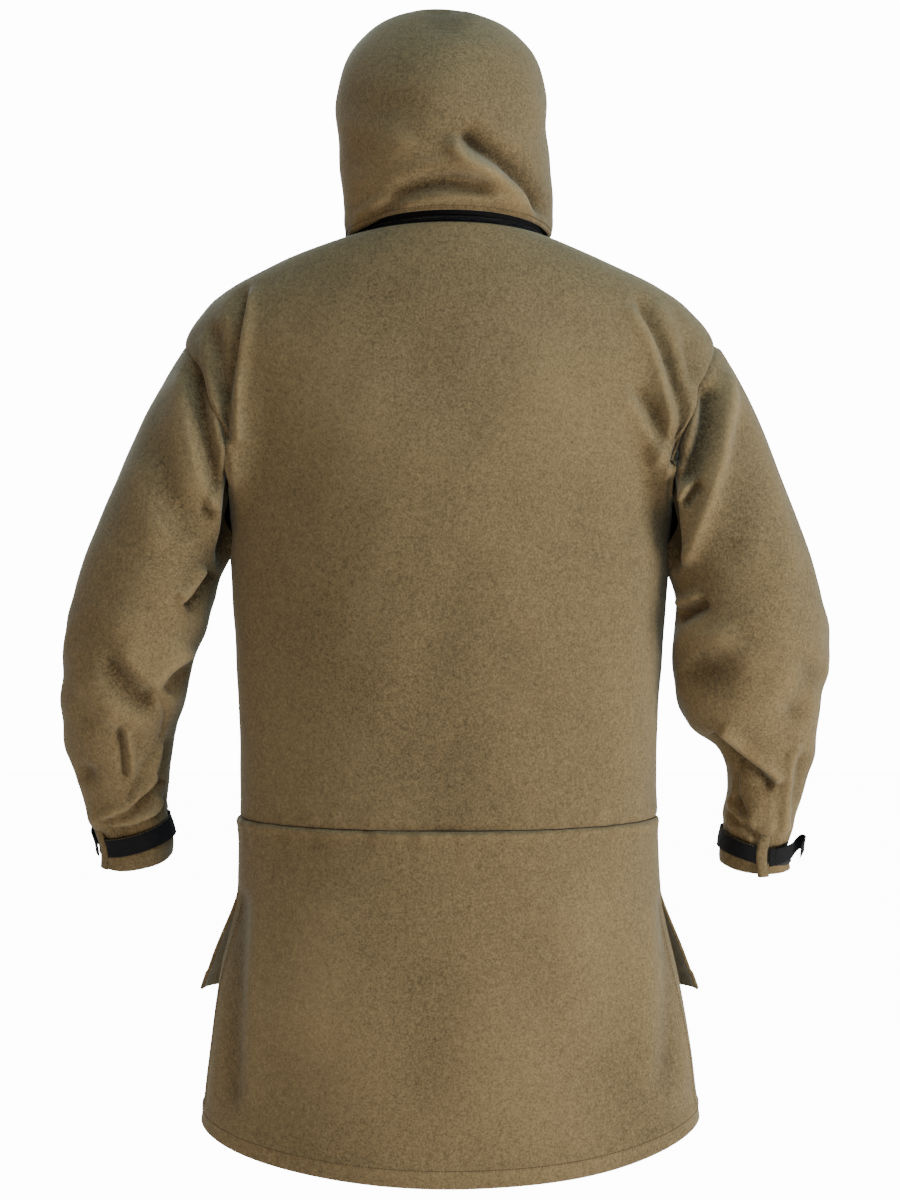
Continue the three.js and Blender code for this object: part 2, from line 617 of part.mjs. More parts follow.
const tabPoint = (turn) => (u, v) => {
  const reach = (TAB.to - u) / (TAB.to - TAB.from);
  return sleevePoint(v - TAB.rise * reach ** 1.5, u + turn, bandGrow + 3 + TAB.lift * reach ** 2);
};
bothSides(
  "cuff_tab",
  (turn) => thicken(grid(tabPoint(turn), TAB.from, TAB.to, 8, bandT.top, bandT.bottom, 1), WEBBING),
  webbing,
);

export default garment;
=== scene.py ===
"""Looks of a hooded fleece smock with a long dropped tail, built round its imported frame."""

import math

import bpy
import numpy as np
from bpy.props import FloatProperty, FloatVectorProperty, PointerProperty
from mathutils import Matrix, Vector


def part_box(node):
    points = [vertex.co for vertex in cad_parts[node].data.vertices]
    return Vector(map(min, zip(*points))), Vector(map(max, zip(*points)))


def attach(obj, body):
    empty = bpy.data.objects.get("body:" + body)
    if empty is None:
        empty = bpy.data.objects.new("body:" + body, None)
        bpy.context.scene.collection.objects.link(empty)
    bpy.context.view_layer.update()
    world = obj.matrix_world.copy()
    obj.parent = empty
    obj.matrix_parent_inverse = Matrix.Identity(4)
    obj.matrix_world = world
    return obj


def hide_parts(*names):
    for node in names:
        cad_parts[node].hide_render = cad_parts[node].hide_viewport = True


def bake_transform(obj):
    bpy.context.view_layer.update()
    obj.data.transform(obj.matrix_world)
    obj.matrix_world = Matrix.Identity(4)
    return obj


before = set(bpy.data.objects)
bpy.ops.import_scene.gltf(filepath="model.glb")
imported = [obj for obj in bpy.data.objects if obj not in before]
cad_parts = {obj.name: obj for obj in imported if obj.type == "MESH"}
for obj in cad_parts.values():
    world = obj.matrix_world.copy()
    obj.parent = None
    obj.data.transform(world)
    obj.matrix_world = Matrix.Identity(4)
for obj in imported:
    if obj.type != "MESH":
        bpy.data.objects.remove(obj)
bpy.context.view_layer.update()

bl_info = {
    "name": "Hooded Fleece Smock",
    "version": (1, 0, 0),
    "blender": (4, 5, 0),
    "location": "View3D > Sidebar > Smock",
    "description": "Builds the cloth, zips, cuffs and finishes of a hooded fleece smock",
    "category": "Object",
}

# Stations and paths below are in millimetres, in the garment's own frame: the origin is the
# middle of the neck ring, +X is the wearer's left and +Y is the back.
MM = 0.001


def span(node, axis):
    """Lowest and highest coordinate of a frame node along one axis, in millimetres."""
    low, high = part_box(node)
    return low[axis] / MM, high[axis] / MM


WAIST_Z = span("back_panel", 2)[0]
TAIL_HEM_Z = span("tail_panel", 2)[0]
HOOD_TOP_Z = span("hood_crown", 2)[1]
FACE_EDGE_Y = span("hood_crown", 1)[0]
BRIM_EDGE_Y = span("hood_brim", 1)[0]
VENT_Z = WAIST_Z - 83
TAIL_DROP = 43
FRONT_SLOPE = 0.1333
NECK_TILT = math.radians(12)
NECK_RADIUS = 98
ZIP_FROM, ZIP_TO = -74, 254
COLLAR_RADIUS = 94
# Distances between the rows of a sheet's mesh, and the width of its turned hems.
CLOTH_STEP, SKIRT_STEP, HOOD_STEP = 3.8, 4.8, 3.6
HEM, VENT_HEM = 19, 18

# Torso rings: height, left half width, right half width, depth behind, tilt in degrees.
TORSO = [
    (-8, 101.5, 101.5, 101.5, 12), (-9, 122, 116, 105, 12), (-22, 167, 152, 110, 11),
    (-38, 205, 189, 116, 9), (-54, 234, 221, 121, 7), (-72, 256, 247, 126, 5),
    (-107, 278, 273, 132, 2), (-150, 262, 262, 137, 0), (-200, 243, 243, 140, 0),
    (-260, 231, 232, 140, 0), (-330, 229, 229, 139, 0), (-420, 225, 224, 136, 0),
    (-510, 221, 219, 132, 0), (WAIST_Z, 223, 219, 132, 0),
]
# Skirt rings below the waist seam, shared by the tail and the front.
SKIRT = [
    (WAIST_Z - 0.5, 223, 219, 132, 0), (VENT_Z, 225, 223, 134, 0), (-760, 238, 237, 137, 0),
    (-840, 249, 249, 140, 0), (TAIL_HEM_Z + 33, 261, 262, 142, 0),
]
# Hood rings from the zip up: height, half widths, depth behind, tilt, depth in front.
HOOD = [
    (4, 103.5, 103.5, 103.5, 12, 103.5), (25, 105.5, 105.5, 108, 9, 108),
    (56, 108, 108, 114, 5, 113), (88, 109, 109, 119, 2, 117), (120, 109.5, 109.5, 121, 0, 119),
    (151, 108, 108, 118, 0, 117), (182, 100, 100, 107, 0, 110), (203, 87, 87, 92, 0, 97),
    (224, 63, 63, 66, 0, 72), (237, 30, 30, 32, 0, 36), (HOOD_TOP_Z, 0, 0, 0, 0, 0),
]
# Sleeve sections, outwards positive: centre x, y, z, half width outwards, half depth.
SLEEVES = {
    "left": [
        (198, 0, -150, 90, 88), (240, 2, -214, 86, 88), (284, 6, -286, 75, 84),
        (313, 10, -353, 72, 80), (334, 8, -416, 69, 77), (344, 0, -479, 64, 69),
        (348, -10, -525, 56, 58), (344, -18, -560, 49, 50), (342, -26, -598, 41, 44),
        (333, -31, -628, 39.5, 42), (334, -36, -656, 37.5, 41),
    ],
    "right": [
        (198, 0, -150, 90, 88), (240, 2, -214, 86, 88), (280, 6, -284, 76, 84),
        (307, 10, -353, 75, 80), (314, 9, -416, 82, 80), (314, 2, -450, 81, 76),
        (320, -4, -480, 76, 68), (333, -12, -512, 57, 56), (337, -19, -545, 48, 50),
        (333, -25, -577, 41, 45), (329, -30, -610, 37, 42), (324, -33, -636, 37.5, 41.5),
        (326, -36, -662, 36, 41),
    ],
}
SIGN = {"left": 1, "right": -1}
# Folds of the worn cloth behind, as kind, path of (x, z), height, width, and its two fades.
# A step is low on the left of its path's direction and high on its right.
HOOD_FOLDS = [
    ("ridge", [(33, 107), (64, 83), (92, 45), (106, 4)], 4.5, 13, 24, 14),
    ("step", [(96, 0), (88, 14), (74, 28), (52, 41)], 6.0, 5, 6, 16),
    ("valley", [(62, 35), (48, 43), (15, 53), (-20, 52), (-48, 45)], 9.0, 7.5, 16, 20),
    ("ridge", [(58, 34), (30, 41), (-4, 42), (-50, 39), (-80, 27)], 4.5, 7, 14, 16),
    ("valley", [(60, 22), (15, 30), (-40, 28), (-75, 16)], 4.0, 3.5, 12, 12),
    ("step", [(-91, 18), (-88, 27), (-74, 47), (-50, 66), (-18, 86), (-9, 103)], 9.0, 7.5, 14, 10),
    ("valley", [(-8, 108), (-28, 92), (-62, 74), (-90, 52)], 5.0, 10, 12, 24),
    ("ridge", [(-2, 100), (-20, 76), (-60, 55)], 2.5, 9, 16, 20),
    ("valley", [(10, 238), (8, 222), (4, 200)], 3.5, 13, 4, 20),
]
BODY_FOLDS = [
    ("step", [(203, -44), (207, -70), (215, -121), (221, -165), (222, -212)], 9.0, 5.5, 22, 10),
    ("ridge", [(232, -56), (229, -74), (227, -96)], 3.0, 7, 14, 14),
    ("valley", [(243, -80), (238, -110), (233, -140), (230, -170)], 5.0, 6, 20, 16),
    ("ridge", [(256, -92), (251, -112), (246, -134)], 2.0, 7, 14, 18),
    ("valley", [(266, -118), (254, -179), (243, -227), (234, -262)], 11.0, 7, 24, 14),
    ("ridge", [(284, -130), (279, -180), (272, -240), (262, -276)], 4.0, 10, 26, 26),
    ("step", [(252, -268), (244, -275), (236, -281)], 8.0, 4.2, 7, 7),
    ("valley", [(303, -190), (284, -260), (262, -312)], 4.5, 14, 40, 16),
    ("ridge", [(322, -215), (312, -270), (296, -330)], 3.0, 16, 36, 36),
    ("step", [(-223, -232), (-226, -213), (-229, -179), (-221, -146), (-207, -105), (-180, -59)],
     8.0, 6.5, 10, 26),
    ("ridge", [(-208, -59), (-227, -102), (-235, -141), (-234, -170), (-229, -200)],
     3.6, 6, 18, 12),
    ("valley", [(-236, -96), (-243, -124), (-246, -150)], 3.5, 7, 16, 16),
    ("step", [(-222, -238), (-216, -213), (-200, -184), (-177, -145)], 6.0, 8, 10, 26),
    ("valley", [(-266, -142), (-262, -184), (-254, -213), (-238, -254)], 14.0, 7.5, 20, 12),
    ("ridge", [(-286, -128), (-286, -170), (-277, -227), (-261, -278), (-249, -312), (-240, -340)],
     8.0, 5.5, 20, 16),
    ("ridge", [(-290, -150), (-318, -208), (-335, -261), (-350, -317), (-352, -357)],
     4.0, 9, 26, 36),
    ("valley", [(-300, -230), (-292, -290), (-274, -340)], 3.5, 14, 30, 26),
    ("step", [(-235, -272), (-243, -258), (-254, -244)], 9.0, 4.2, 5, 7),
]
ARM_FOLDS = [
    ("step", [(276, -376), (262, -364), (244, -340)], 12.0, 6, 8, 6),
    ("valley", [(360, -424), (340, -450), (321, -471), (303, -474)], 11.0, 10, 20, 10),
    ("step", [(301, -466), (287, -446), (262, -428)], 8.0, 8, 8, 10),
    ("ridge", [(398, -442), (366, -474), (338, -502)], 4.5, 9, 22, 20),
    ("step", [(338, -498), (335, -530), (335, -560)], 6.0, 3.6, 14, 8),
    ("valley", [(392, -544), (382, -552), (364, -557)], 5.5, 7, 14, 14),
    ("groove", [(300, -466), (295, -489), (297, -504), (306, -528), (323, -552), (339, -587)],
     2.6, 1.8, 5, 5),
    ("step", [(340, -590), (314, -567), (303, -541), (297, -515)], 5.0, 3.5, 6, 12),
    ("step", [(366, -606), (351, -597), (332, -589), (312, -570), (302, -558)], 7.0, 4, 8, 6),
    ("step", [(363, -610), (344, -611), (325, -605), (310, -595), (302, -580)], 7.0, 3.6, 8, 6),
    ("step", [(-236, -382), (-247, -377), (-262, -366)], 10.0, 6, 5, 8),
    ("valley", [(-243, -433), (-266, -442), (-312, -434)], 7.0, 17, 12, 40),
    ("ridge", [(-236, -392), (-262, -404), (-300, -396)], 4.0, 13, 18, 26),
    ("valley", [(-384, -424), (-369, -468), (-350, -505)], 6.0, 14, 26, 20),
    ("step", [(-274, -506), (-303, -532), (-327, -551), (-343, -568)], 9.0, 6, 8, 8),
    ("groove", [(-302, -540), (-302, -581), (-311, -607), (-320, -624)], 2.6, 1.8, 4, 4),
    ("ridge", [(-366, -516), (-357, -541), (-354, -588), (-351, -620)], 5.5, 4.2, 14, 8),
    ("valley", [(-373, -526), (-366, -556), (-362, -596)], 4.0, 7, 14, 12),
    ("step", [(-322, -626), (-311, -618), (-300, -610), (-293, -598)], 5.0, 3.4, 6, 6),
    ("step", [(-312, -606), (-302, -592), (-296, -580)], 5.0, 3.4, 8, 6),
]
TAIL_FOLDS = [
    ("valley", [(221, -664), (223, -780), (226, -915)], 7.5, 10, 26, 40),
    ("valley", [(-229, -672), (-231, -780), (-231, -890)], 6.5, 10, 24, 40),
    ("ridge", [(130, -640), (144, -740), (160, -860)], 4.0, 26, 50, 70),
    ("ridge", [(-120, -640), (-136, -740), (-150, -860)], 4.0, 26, 50, 70),
    ("valley", [(20, -700), (26, -800), (34, -900)], 2.5, 30, 60, 60),
]
# Where each sleeve is sewn on, seen from behind with outwards positive.
ARMHOLES = {
    "left": [
        (292, -84), (276, -102), (258, -136), (242, -165), (226, -203), (221, -250), (226, -335),
    ],
    "right": [
        (290, -92), (273, -114), (257, -145), (241, -189), (225, -227), (222, -262), (227, -335),
    ],
}


# ---------------------------------------------------------------- numbers and curves


def smoothstep(x, low, high):
    """Smooth rise from 0 at low to 1 at high."""
    t = np.clip((np.asarray(x, float) - low) / (high - low), 0, 1)
    return t * t * (3 - 2 * t)


def bell(x, middle, width):
    """Rounded bump of height 1 about a middle."""
    return np.exp(-(((x - middle) / width) ** 2))


def stations(rows, t):
    """Smooth values of every column of a station table at fractional row numbers."""
    rows = np.asarray(rows, float)
    t = np.clip(np.asarray(t, float), 0, len(rows) - 1)
    i = np.minimum(t.astype(int), len(rows) - 2)
    f = (t - i)[..., None]
    before, a = rows[np.maximum(i - 1, 0)], rows[i]
    b, after = rows[i + 1], rows[np.minimum(i + 2, len(rows) - 1)]
    into, out = (b - before) / 2, (after - a) / 2
    f2, f3 = f * f, f * f * f
    start = a * (2 * f3 - 3 * f2 + 1) + into * (f3 - 2 * f2 + f)
    return start + b * (3 * f2 - 2 * f3) + out * (f3 - f2)


def ring_point(rows, t, degrees, grow=0):
    """Point of a ring table; the angle runs from +X (0) over the back (90) to -X (180)."""
    t, u = np.broadcast_arrays(np.asarray(t, float), np.radians(np.asarray(degrees, float)))
    s = stations(rows, t)
    z, tilt = s[..., 0], np.tan(np.radians(s[..., 4]))
    sine, cosine = np.sin(u), np.cos(u)
    if s.shape[-1] > 5:
        front = s[..., 5]
    else:
        front = np.minimum((97 - FRONT_SLOPE * z) / (1 - FRONT_SLOPE * tilt), s[..., 3])
    depth = np.where(sine < 0, front, s[..., 3]) + grow
    half = np.where(cosine > 0, s[..., 1], s[..., 2]) + grow
    return np.stack([half * cosine, depth * sine, z + tilt * depth * sine], -1)


def torso_point(t, degrees, grow=0):
    return ring_point(TORSO, t, degrees, grow)


def hood_lean(z):
    """How far the hood leans to the wearer's left at a height."""
    return 8 * smoothstep(z, 20, 120)


def hood_point(t, degrees, grow=0):
    p = ring_point(HOOD, t, degrees, grow)
    p[..., 0] += hood_lean(p[..., 2])
    return p


def tail_point(t, degrees, grow=0):
    p = ring_point(SKIRT, t, degrees, grow)
    share = np.asarray(t) / (len(SKIRT) - 1)
    back = np.clip(np.sin(np.radians(degrees)), 0, 1)
    p[..., 2] -= TAIL_DROP * back**1.2 * share**2
    return p


FRONT_END_T = 2 + 40 / 80


def front_skirt_point(t, degrees, grow=0):
    p = ring_point(SKIRT, t, degrees, grow)
    below = np.clip(np.asarray(t) - 1, 0, None) / (FRONT_END_T - 1)
    side = np.abs(np.cos(np.radians(degrees)))
    p[..., 0] *= 1 + 0.09 * below * side**4
    p[..., 1] -= 6 * below
    p[..., 2] += 13 * below * side**3
    return p


def sleeve_point(side, t, degrees, grow=0):
    """Point of a sleeve; the angle runs from outwards (0) over the back (90) to inwards (180)."""
    rows = SLEEVES[side]
    t, u = np.broadcast_arrays(np.asarray(t, float), np.radians(np.asarray(degrees, float)))
    s = stations(rows, t)
    down = stations(rows, t + 1.1)[..., :3] - stations(rows, t - 1.1)[..., :3]
    down /= np.linalg.norm(down, axis=-1, keepdims=True)
    out = np.stack([-down[..., 2], np.zeros_like(u), down[..., 0]], -1)
    out /= np.linalg.norm(out, axis=-1, keepdims=True)
    back = np.cross(out, down)
    p = s[..., :3] + out * ((s[..., 3] + grow) * np.cos(u))[..., None]
    p = p + back * ((s[..., 4] + grow) * np.sin(u))[..., None]
    p[..., 0] *= SIGN[side]
    return p


def torso_reach(p):
    """How far outside the torso's rings a point lies: about its distance, negative inside."""
    t = np.linspace(0, len(TORSO) - 1, 400)
    s = stations(TORSO, t)
    order = np.argsort(s[:, 0])
    z = p[..., 2]
    tilt = np.tan(np.radians(np.interp(z, s[order, 0], s[order, 4])))
    z = z - tilt * p[..., 1]
    left, right, back = (np.interp(z, s[order, 0], s[order, k]) for k in (1, 2, 3))
    front = np.minimum((97 - FRONT_SLOPE * z) / (1 - FRONT_SLOPE * tilt), back)
    half = np.where(p[..., 0] > 0, left, right)
    depth = np.where(p[..., 1] < 0, front, back)
    scaled = np.hypot(p[..., 0] / half, p[..., 1] / depth)
    radius = np.linalg.norm(p[..., :2], axis=-1)
    reach = radius * (1 - 1 / np.maximum(scaled, 1e-6))
    return np.where(z > s[:, 0].max(), 50, reach)


def sleeve_reach(side, p):
    """How far outside a sleeve's upper part a point lies, negative inside."""
    t = np.linspace(0, 3.4, 120)
    s = stations(SLEEVES[side], t)
    x = p[..., 0] * SIGN[side]
    down = np.gradient(s[:, :3], axis=0)
    down /= np.linalg.norm(down, axis=1, keepdims=True)
    rel = np.stack([x, p[..., 1], p[..., 2]], -1)[..., None, :] - s[:, :3]
    along = np.abs((rel * down).sum(-1))
    k = along.argmin(-1)
    pick = np.take_along_axis(rel, k[..., None, None], -2)[..., 0, :]
    out = np.stack([-down[k, 2], np.zeros(k.shape), down[k, 0]], -1)
    a = (pick * out).sum(-1) / s[k, 3]
    b = pick[..., 1] / s[k, 4]
    size = np.hypot(a, b)
    reach = (size - 1) * np.minimum(s[k, 3], s[k, 4])
    return np.where(along.min(-1) > 6, 50, reach)


def past_armhole(side, p):
    """Signed distance of points past a sleeve's seam, positive on the sleeve's side of it."""
    flat = np.stack([p[..., 0] * SIGN[side], p[..., 2]], -1).reshape(-1, 2)
    distance = np.full(len(flat), 99.0)
    near = flat[:, 0] > 120
    distance[~near] = -99.0
    distance[near] = to_path(flat[near], np.asarray(ARMHOLES[side], float), 40)[0]
    return distance.reshape(p.shape[:-1])


def sleeve_depth(side, p):
    """How far behind and in front of its middle a sleeve reaches at points' places (x, z)."""
    t = np.linspace(-1.2, 3.2, 160)
    s = stations(SLEEVES[side], t)
    down = np.array([0.549, 0.0, -0.836])
    early = np.minimum(t, 0)[:, None]
    middle = s[:, :3] + early * down * 76
    ease = 1 + 0.34 * early[:, 0]
    tangent = np.gradient(middle, axis=0)
    tangent /= np.linalg.norm(tangent, axis=1, keepdims=True)
    x, z = p[..., 0] * SIGN[side], p[..., 2]
    dx, dz = x[..., None] - middle[:, 0], z[..., None] - middle[:, 2]
    k = np.abs(dx * tangent[:, 0] + dz * tangent[:, 2]).argmin(-1)
    row_x = np.take_along_axis(dx, k[..., None], -1)[..., 0]
    row_z = np.take_along_axis(dz, k[..., None], -1)[..., 0]
    out = -tangent[k, 2] * row_x + tangent[k, 0] * row_z
    share = np.clip(out / (s[k, 3] * ease[k]), -1, 1)
    return s[k, 1], s[k, 4] * ease[k] * np.sqrt(1 - share**2)


def sewn_in(side, points, turned):
    """How deep a sleeve's cloth dips towards its seam, in a dark gap beside the ribs.

    Low down only cloth that is turned to the back or front (turned 1) dips.
    """
    past = past_armhole(side, points)
    low = -points[:, 2]
    deep = 5 + 7 * smoothstep(low, 120, 175) + 16 * smoothstep(low, 205, 245)
    deep = deep * (1 - 0.7 * smoothstep(low, 315, 350)) * (1 - smoothstep(low, 350, 372))
    reach = 7 + 7 * smoothstep(low, 190, 240)
    deep = deep * (1 - smoothstep(low, 245, 275) * (1 - turned))
    return -deep * (1 - smoothstep(past, -3, reach))


def over_sleeves(grid):
    """Lets the body's cloth run out over the top of each sleeve as far as its seam."""
    grid = grid.copy()
    for side in SLEEVES:
        near = (grid[..., 0] * SIGN[side] > 150) & (grid[..., 2] < -60) & (grid[..., 2] > -345)
        p = grid[near]
        middle, reach = sleeve_depth(side, p)
        past = past_armhole(side, p)
        reach = reach - 5.5 * smoothstep(past, -0.5, 4)
        sign = np.where(p[:, 1] >= 0, 1, -1)
        own = np.abs(p[:, 1])
        other = reach + middle * sign
        blend = 16.0
        h = np.clip(0.5 + 0.5 * (other - own) / blend, 0, 1)
        joined = own * (1 - h) + other * h + blend * h * (1 - h)
        fade = smoothstep(own, 2, 26) * smoothstep(p[:, 2], -300, -235)
        p[:, 1] = sign * (own + (joined - own) * fade)
        grid[near] = p
    return grid


def spaced(point, start, end, step, edge=(0.9, 2.6)):
    """Row numbers from start to end, about step apart on the cloth and closer at both ends."""
    t = np.linspace(start, end, 900)
    gaps = [np.linalg.norm(np.diff(point(t, u), axis=0), axis=1) for u in (0, 90, 180, 270)]
    s = np.concatenate([[0], np.cumsum(np.max(gaps, axis=0))])
    marks = list(np.linspace(0, s[-1], max(3, math.ceil(s[-1] / step) + 1)))
    marks += [*edge, *(s[-1] - e for e in edge)]
    return np.interp(sorted(marks), s, t)


def angles(start, end, steps, edge=(0.25, 0.8)):
    """Angles from start to end with closer ones at both ends."""
    sign = 1 if end > start else -1
    marks = list(np.linspace(start, end, steps + 1))
    marks += [start + sign * e for e in edge] + [end - sign * e for e in edge]
    return np.array(sorted(marks, reverse=sign < 0))


# ---------------------------------------------------------------- folds


def waves(p, seed, length):
    """Smooth even variation from -1 to 1, with features about length millimetres across."""
    rng = np.random.default_rng(seed)
    total = np.zeros(p.shape[:-1])
    for _ in range(7):
        turn = rng.normal(size=3)
        turn *= 2 * math.pi / (length * rng.uniform(0.8, 1.7)) / np.linalg.norm(turn)
        total += np.sin(p @ turn + rng.uniform(0, 2 * math.pi))
    return total / 3.2


def to_path(p, path, steps=28):
    """Signed distance from points (x, z) to a smooth path, and the place along it from 0 to 1."""
    knots = stations(path, np.linspace(0, len(path) - 1, steps))
    a, d = knots[:-1], np.diff(knots, axis=0)
    length = np.linalg.norm(d, axis=1)
    start = np.concatenate([[0], np.cumsum(length)])
    rel = p[:, None, :] - a
    f = np.clip((rel * d).sum(-1) / length**2, 0, 1)
    off = rel - f[..., None] * d
    dist = np.linalg.norm(off, axis=-1)
    k = dist.argmin(1)
    row = np.arange(len(p))
    side = d[k, 0] * rel[row, k, 1] - d[k, 1] * rel[row, k, 0]
    place = start[k] + f[row, k] * length[k]
    return np.where(side >= 0, 1, -1) * dist[row, k], place, start[-1]


def fold_height(points, folds, strength):
    """Height that a list of folds gives to points (x, z).

    Each fold is its kind, its path, its height and width, and its fades at both ends.
    """
    total = np.zeros(len(points))
    for kind, path, height, width, fade_in, fade_out in folds:
        path = np.asarray(path, float)
        near = path.min(0) - 5 * width, path.max(0) + 5 * width
        inside = np.all((points > near[0]) & (points < near[1]), axis=1)
        if not inside.any():
            continue
        d, place, length = to_path(points[inside], path)
        fade = smoothstep(place, 0, fade_in) * smoothstep(length - place, 0, fade_out)
        x = d / width
        if kind == "ridge":
            shape = np.exp(-x * x / 2)
        elif kind == "step":
            shape = -x * np.exp(0.5 - x * x / 2) * np.where(x > 0, 1, 0.8)
        else:
            shape = -np.exp(-x * x / 2)
            if kind == "valley":
                lips = np.exp(-((x - 2) ** 2) / 1.6) + np.exp(-((x + 2) ** 2) / 1.6)
                shape = shape + 0.3 * lips
        total[inside] += height * strength * fade * shape
    return total


# ---------------------------------------------------------------- meshes


def new_object(name, mesh, material):
    obj = bpy.data.objects.new(name, mesh)
    bpy.context.scene.collection.objects.link(obj)
    mesh.materials.clear()
    mesh.materials.append(material)
    mesh.shade_smooth()
    return obj


def mesh_from(name, points, faces, material, corner_uv=None, fold=None):
    """A finished object from points in millimetres; its place is in its mesh."""
    mesh = bpy.data.meshes.new(name)
    mesh.from_pydata((np.asarray(points) * MM).tolist(), [], faces)
    if corner_uv is not None:
        layer = mesh.uv_layers.new(name="Cloth")
        layer.data.foreach_set("uv", (np.asarray(corner_uv) * MM).ravel().astype(np.float32))
    # The fold attribute keeps each point's fold height, which the fleece finish uses to paint shade
    # into folds and light onto raised cloth.
    if fold is not None:
        layer = mesh.attributes.new("fold", "FLOAT", "POINT")
        layer.data.foreach_set("value", fold.astype(np.float32))
    mesh.validate()
    mesh.update()
    return new_object(name, mesh, material)


def grid_uv(grid):
    """Flat coordinates of a grid of points: distance across and distance down the cloth."""
    across = np.zeros(grid.shape[:2])
    across[:, 1:] = np.cumsum(np.linalg.norm(np.diff(grid, axis=1), axis=2), axis=1)
    down = np.zeros(grid.shape[:2])
    down[1:] = np.cumsum(np.linalg.norm(np.diff(grid, axis=0), axis=2), axis=0)
    return np.stack([across, down], -1)


def cloth(name, grid, thick, material, height=None, keep=None, bevel=0.3):
    """Thick closed sheet from a grid of points whose rows run down and columns run round.

    height(points, normals, rows, columns) gives how far each point moves outwards. The result is
    the object and the moved grid with its normals.
    """
    rows, cols = grid.shape[:2]
    index = np.arange(rows * cols).reshape(rows, cols)
    quads = np.stack([index[:-1, :-1], index[1:, :-1], index[1:, 1:], index[:-1, 1:]], -1)
    if keep is not None:
        quads = quads[keep]
    quads = quads.reshape(-1, 4)
    flat = grid.reshape(-1, 3)
    _, first, weld = np.unique(np.round(flat, 3), axis=0, return_index=True, return_inverse=True)
    weld = weld.ravel()
    welded = weld[quads]
    points = flat[first]
    a, b, c, d = (points[welded[:, k]] for k in range(4))
    cross = np.cross(c - a, d - b)
    normals = np.zeros_like(points)
    for k in range(4):
        np.add.at(normals, welded[:, k], cross)
    size = np.linalg.norm(normals, axis=1, keepdims=True)
    normals = np.where(size > 0, normals / np.maximum(size, 1e-12), 0)
    lift = np.zeros(len(points))
    if height is not None:
        lift = height(points, normals, first // cols, first % cols)
    faces, corners = [], []
    for old, new in zip(quads.tolist(), welded.tolist()):
        ring = [(n, o) for i, (n, o) in enumerate(zip(new, old)) if n != new[i - 1]]
        if len({n for n, _ in ring}) >= 3:
            faces.append([n for n, _ in ring])
            corners.append([o for _, o in ring])
    edges = {}
    for face, corner in zip(faces, corners):
        for i in range(len(face)):
            j = (i + 1) % len(face)
            edges[(face[i], face[j])] = (corner[i], corner[j])
    border = [(e, o) for e, o in edges.items() if (e[1], e[0]) not in edges]
    used = np.zeros(len(points), bool)
    used[[n for face in faces for n in face]] = True
    rim = np.zeros(len(points))
    rim[[n for e, _ in border for n in e]] = 1
    outer = points + normals * (lift - rim * bevel * thick)[:, None]
    inner = points + normals * (lift - thick + rim * bevel * thick)[:, None]
    count = len(points)
    uv = grid_uv(grid).reshape(-1, 2)
    all_faces = [*faces, *[[n + count for n in reversed(f)] for f in faces]]
    all_corners = [*corners, *[list(reversed(c)) for c in corners]]
    for (p, q), (op, oq) in border:
        all_faces.append([q, p, p + count, q + count])
        all_corners.append([oq, op, op, oq])
    keep_index = np.concatenate([used, used])
    renumber = np.cumsum(keep_index) - 1
    final = np.concatenate([outer, inner])[keep_index]
    fold = np.concatenate([lift, lift])[keep_index]
    all_faces = [[int(renumber[n]) for n in f] for f in all_faces]
    corner_uv = uv[[o for c in all_corners for o in c]]
    obj = mesh_from(name, final, all_faces, material, corner_uv, fold)
    moved = (points + normals * lift[:, None])[weld].reshape(rows, cols, 3)
    return obj, moved, normals[weld].reshape(rows, cols, 3)


def flat_size(grid):
    """Flat width, length and area in metres of the cloth that a grid of points stands for."""
    uv = grid_uv(grid) * MM
    a, b = grid[1:, 1:] - grid[:-1, :-1], grid[1:, :-1] - grid[:-1, 1:]
    area = float(np.linalg.norm(np.cross(a, b), axis=-1).sum() / 2) * MM * MM
    width, length = float(uv[..., 0].max()), float(uv[..., 1].max())
    return (width, length), min(max(area, 0.31 * width * length), width * length)


def declare(grid):
    flat, area = flat_size(grid)


def strip(name, middle, side, out, width, thick, material, steps=8):
    """A flat strap along a line of points, with its width along side and its face towards out."""
    across = np.concatenate([[-1, -0.93], np.linspace(-1, 1, steps + 1)[1:-1], [0.93, 1]])
    grid = middle[:, None, :] + side[:, None, :] * (across * width / 2)[None, :, None]
    test = np.cross(grid[1, 0] - grid[0, 0], grid[0, 1] - grid[0, 0])
    if np.dot(test, out[0]) < 0:
        grid = grid[:, ::-1]
    return cloth(name, grid, thick, material, bevel=0.35)


# ---------------------------------------------------------------- materials


def add_node(tree, kind, values=None, **settings):
    node = tree.nodes.new(kind)
    for key, value in settings.items():
        setattr(node, key, value)
    for key, value in (values or {}).items():
        if isinstance(value, bpy.types.NodeSocket):
            tree.links.new(value, node.inputs[key])
        else:
            node.inputs[key].default_value = value
    return node


def maths(tree, operation, a, b=0.0, c=0.0):
    return add_node(tree, "ShaderNodeMath", {0: a, 1: b, 2: c}, operation=operation).outputs[0]


def tinted(tree, colour, shade):
    """A colour made lighter or darker by a factor."""
    values = {0: colour, "Scale": shade}
    return add_node(tree, "ShaderNodeVectorMath", values, operation="SCALE").outputs[0]


def mix_colours(tree, factor, first, second):
    """The first colour where factor is 0 and the second where it is 1."""
    mix = add_node(tree, "ShaderNodeMix", data_type="RGBA")
    tree.links.new(factor, mix.inputs["Factor"])
    mix.inputs[6].default_value = (*first, 1)
    mix.inputs[7].default_value = (*second, 1)
    return mix.outputs[2]


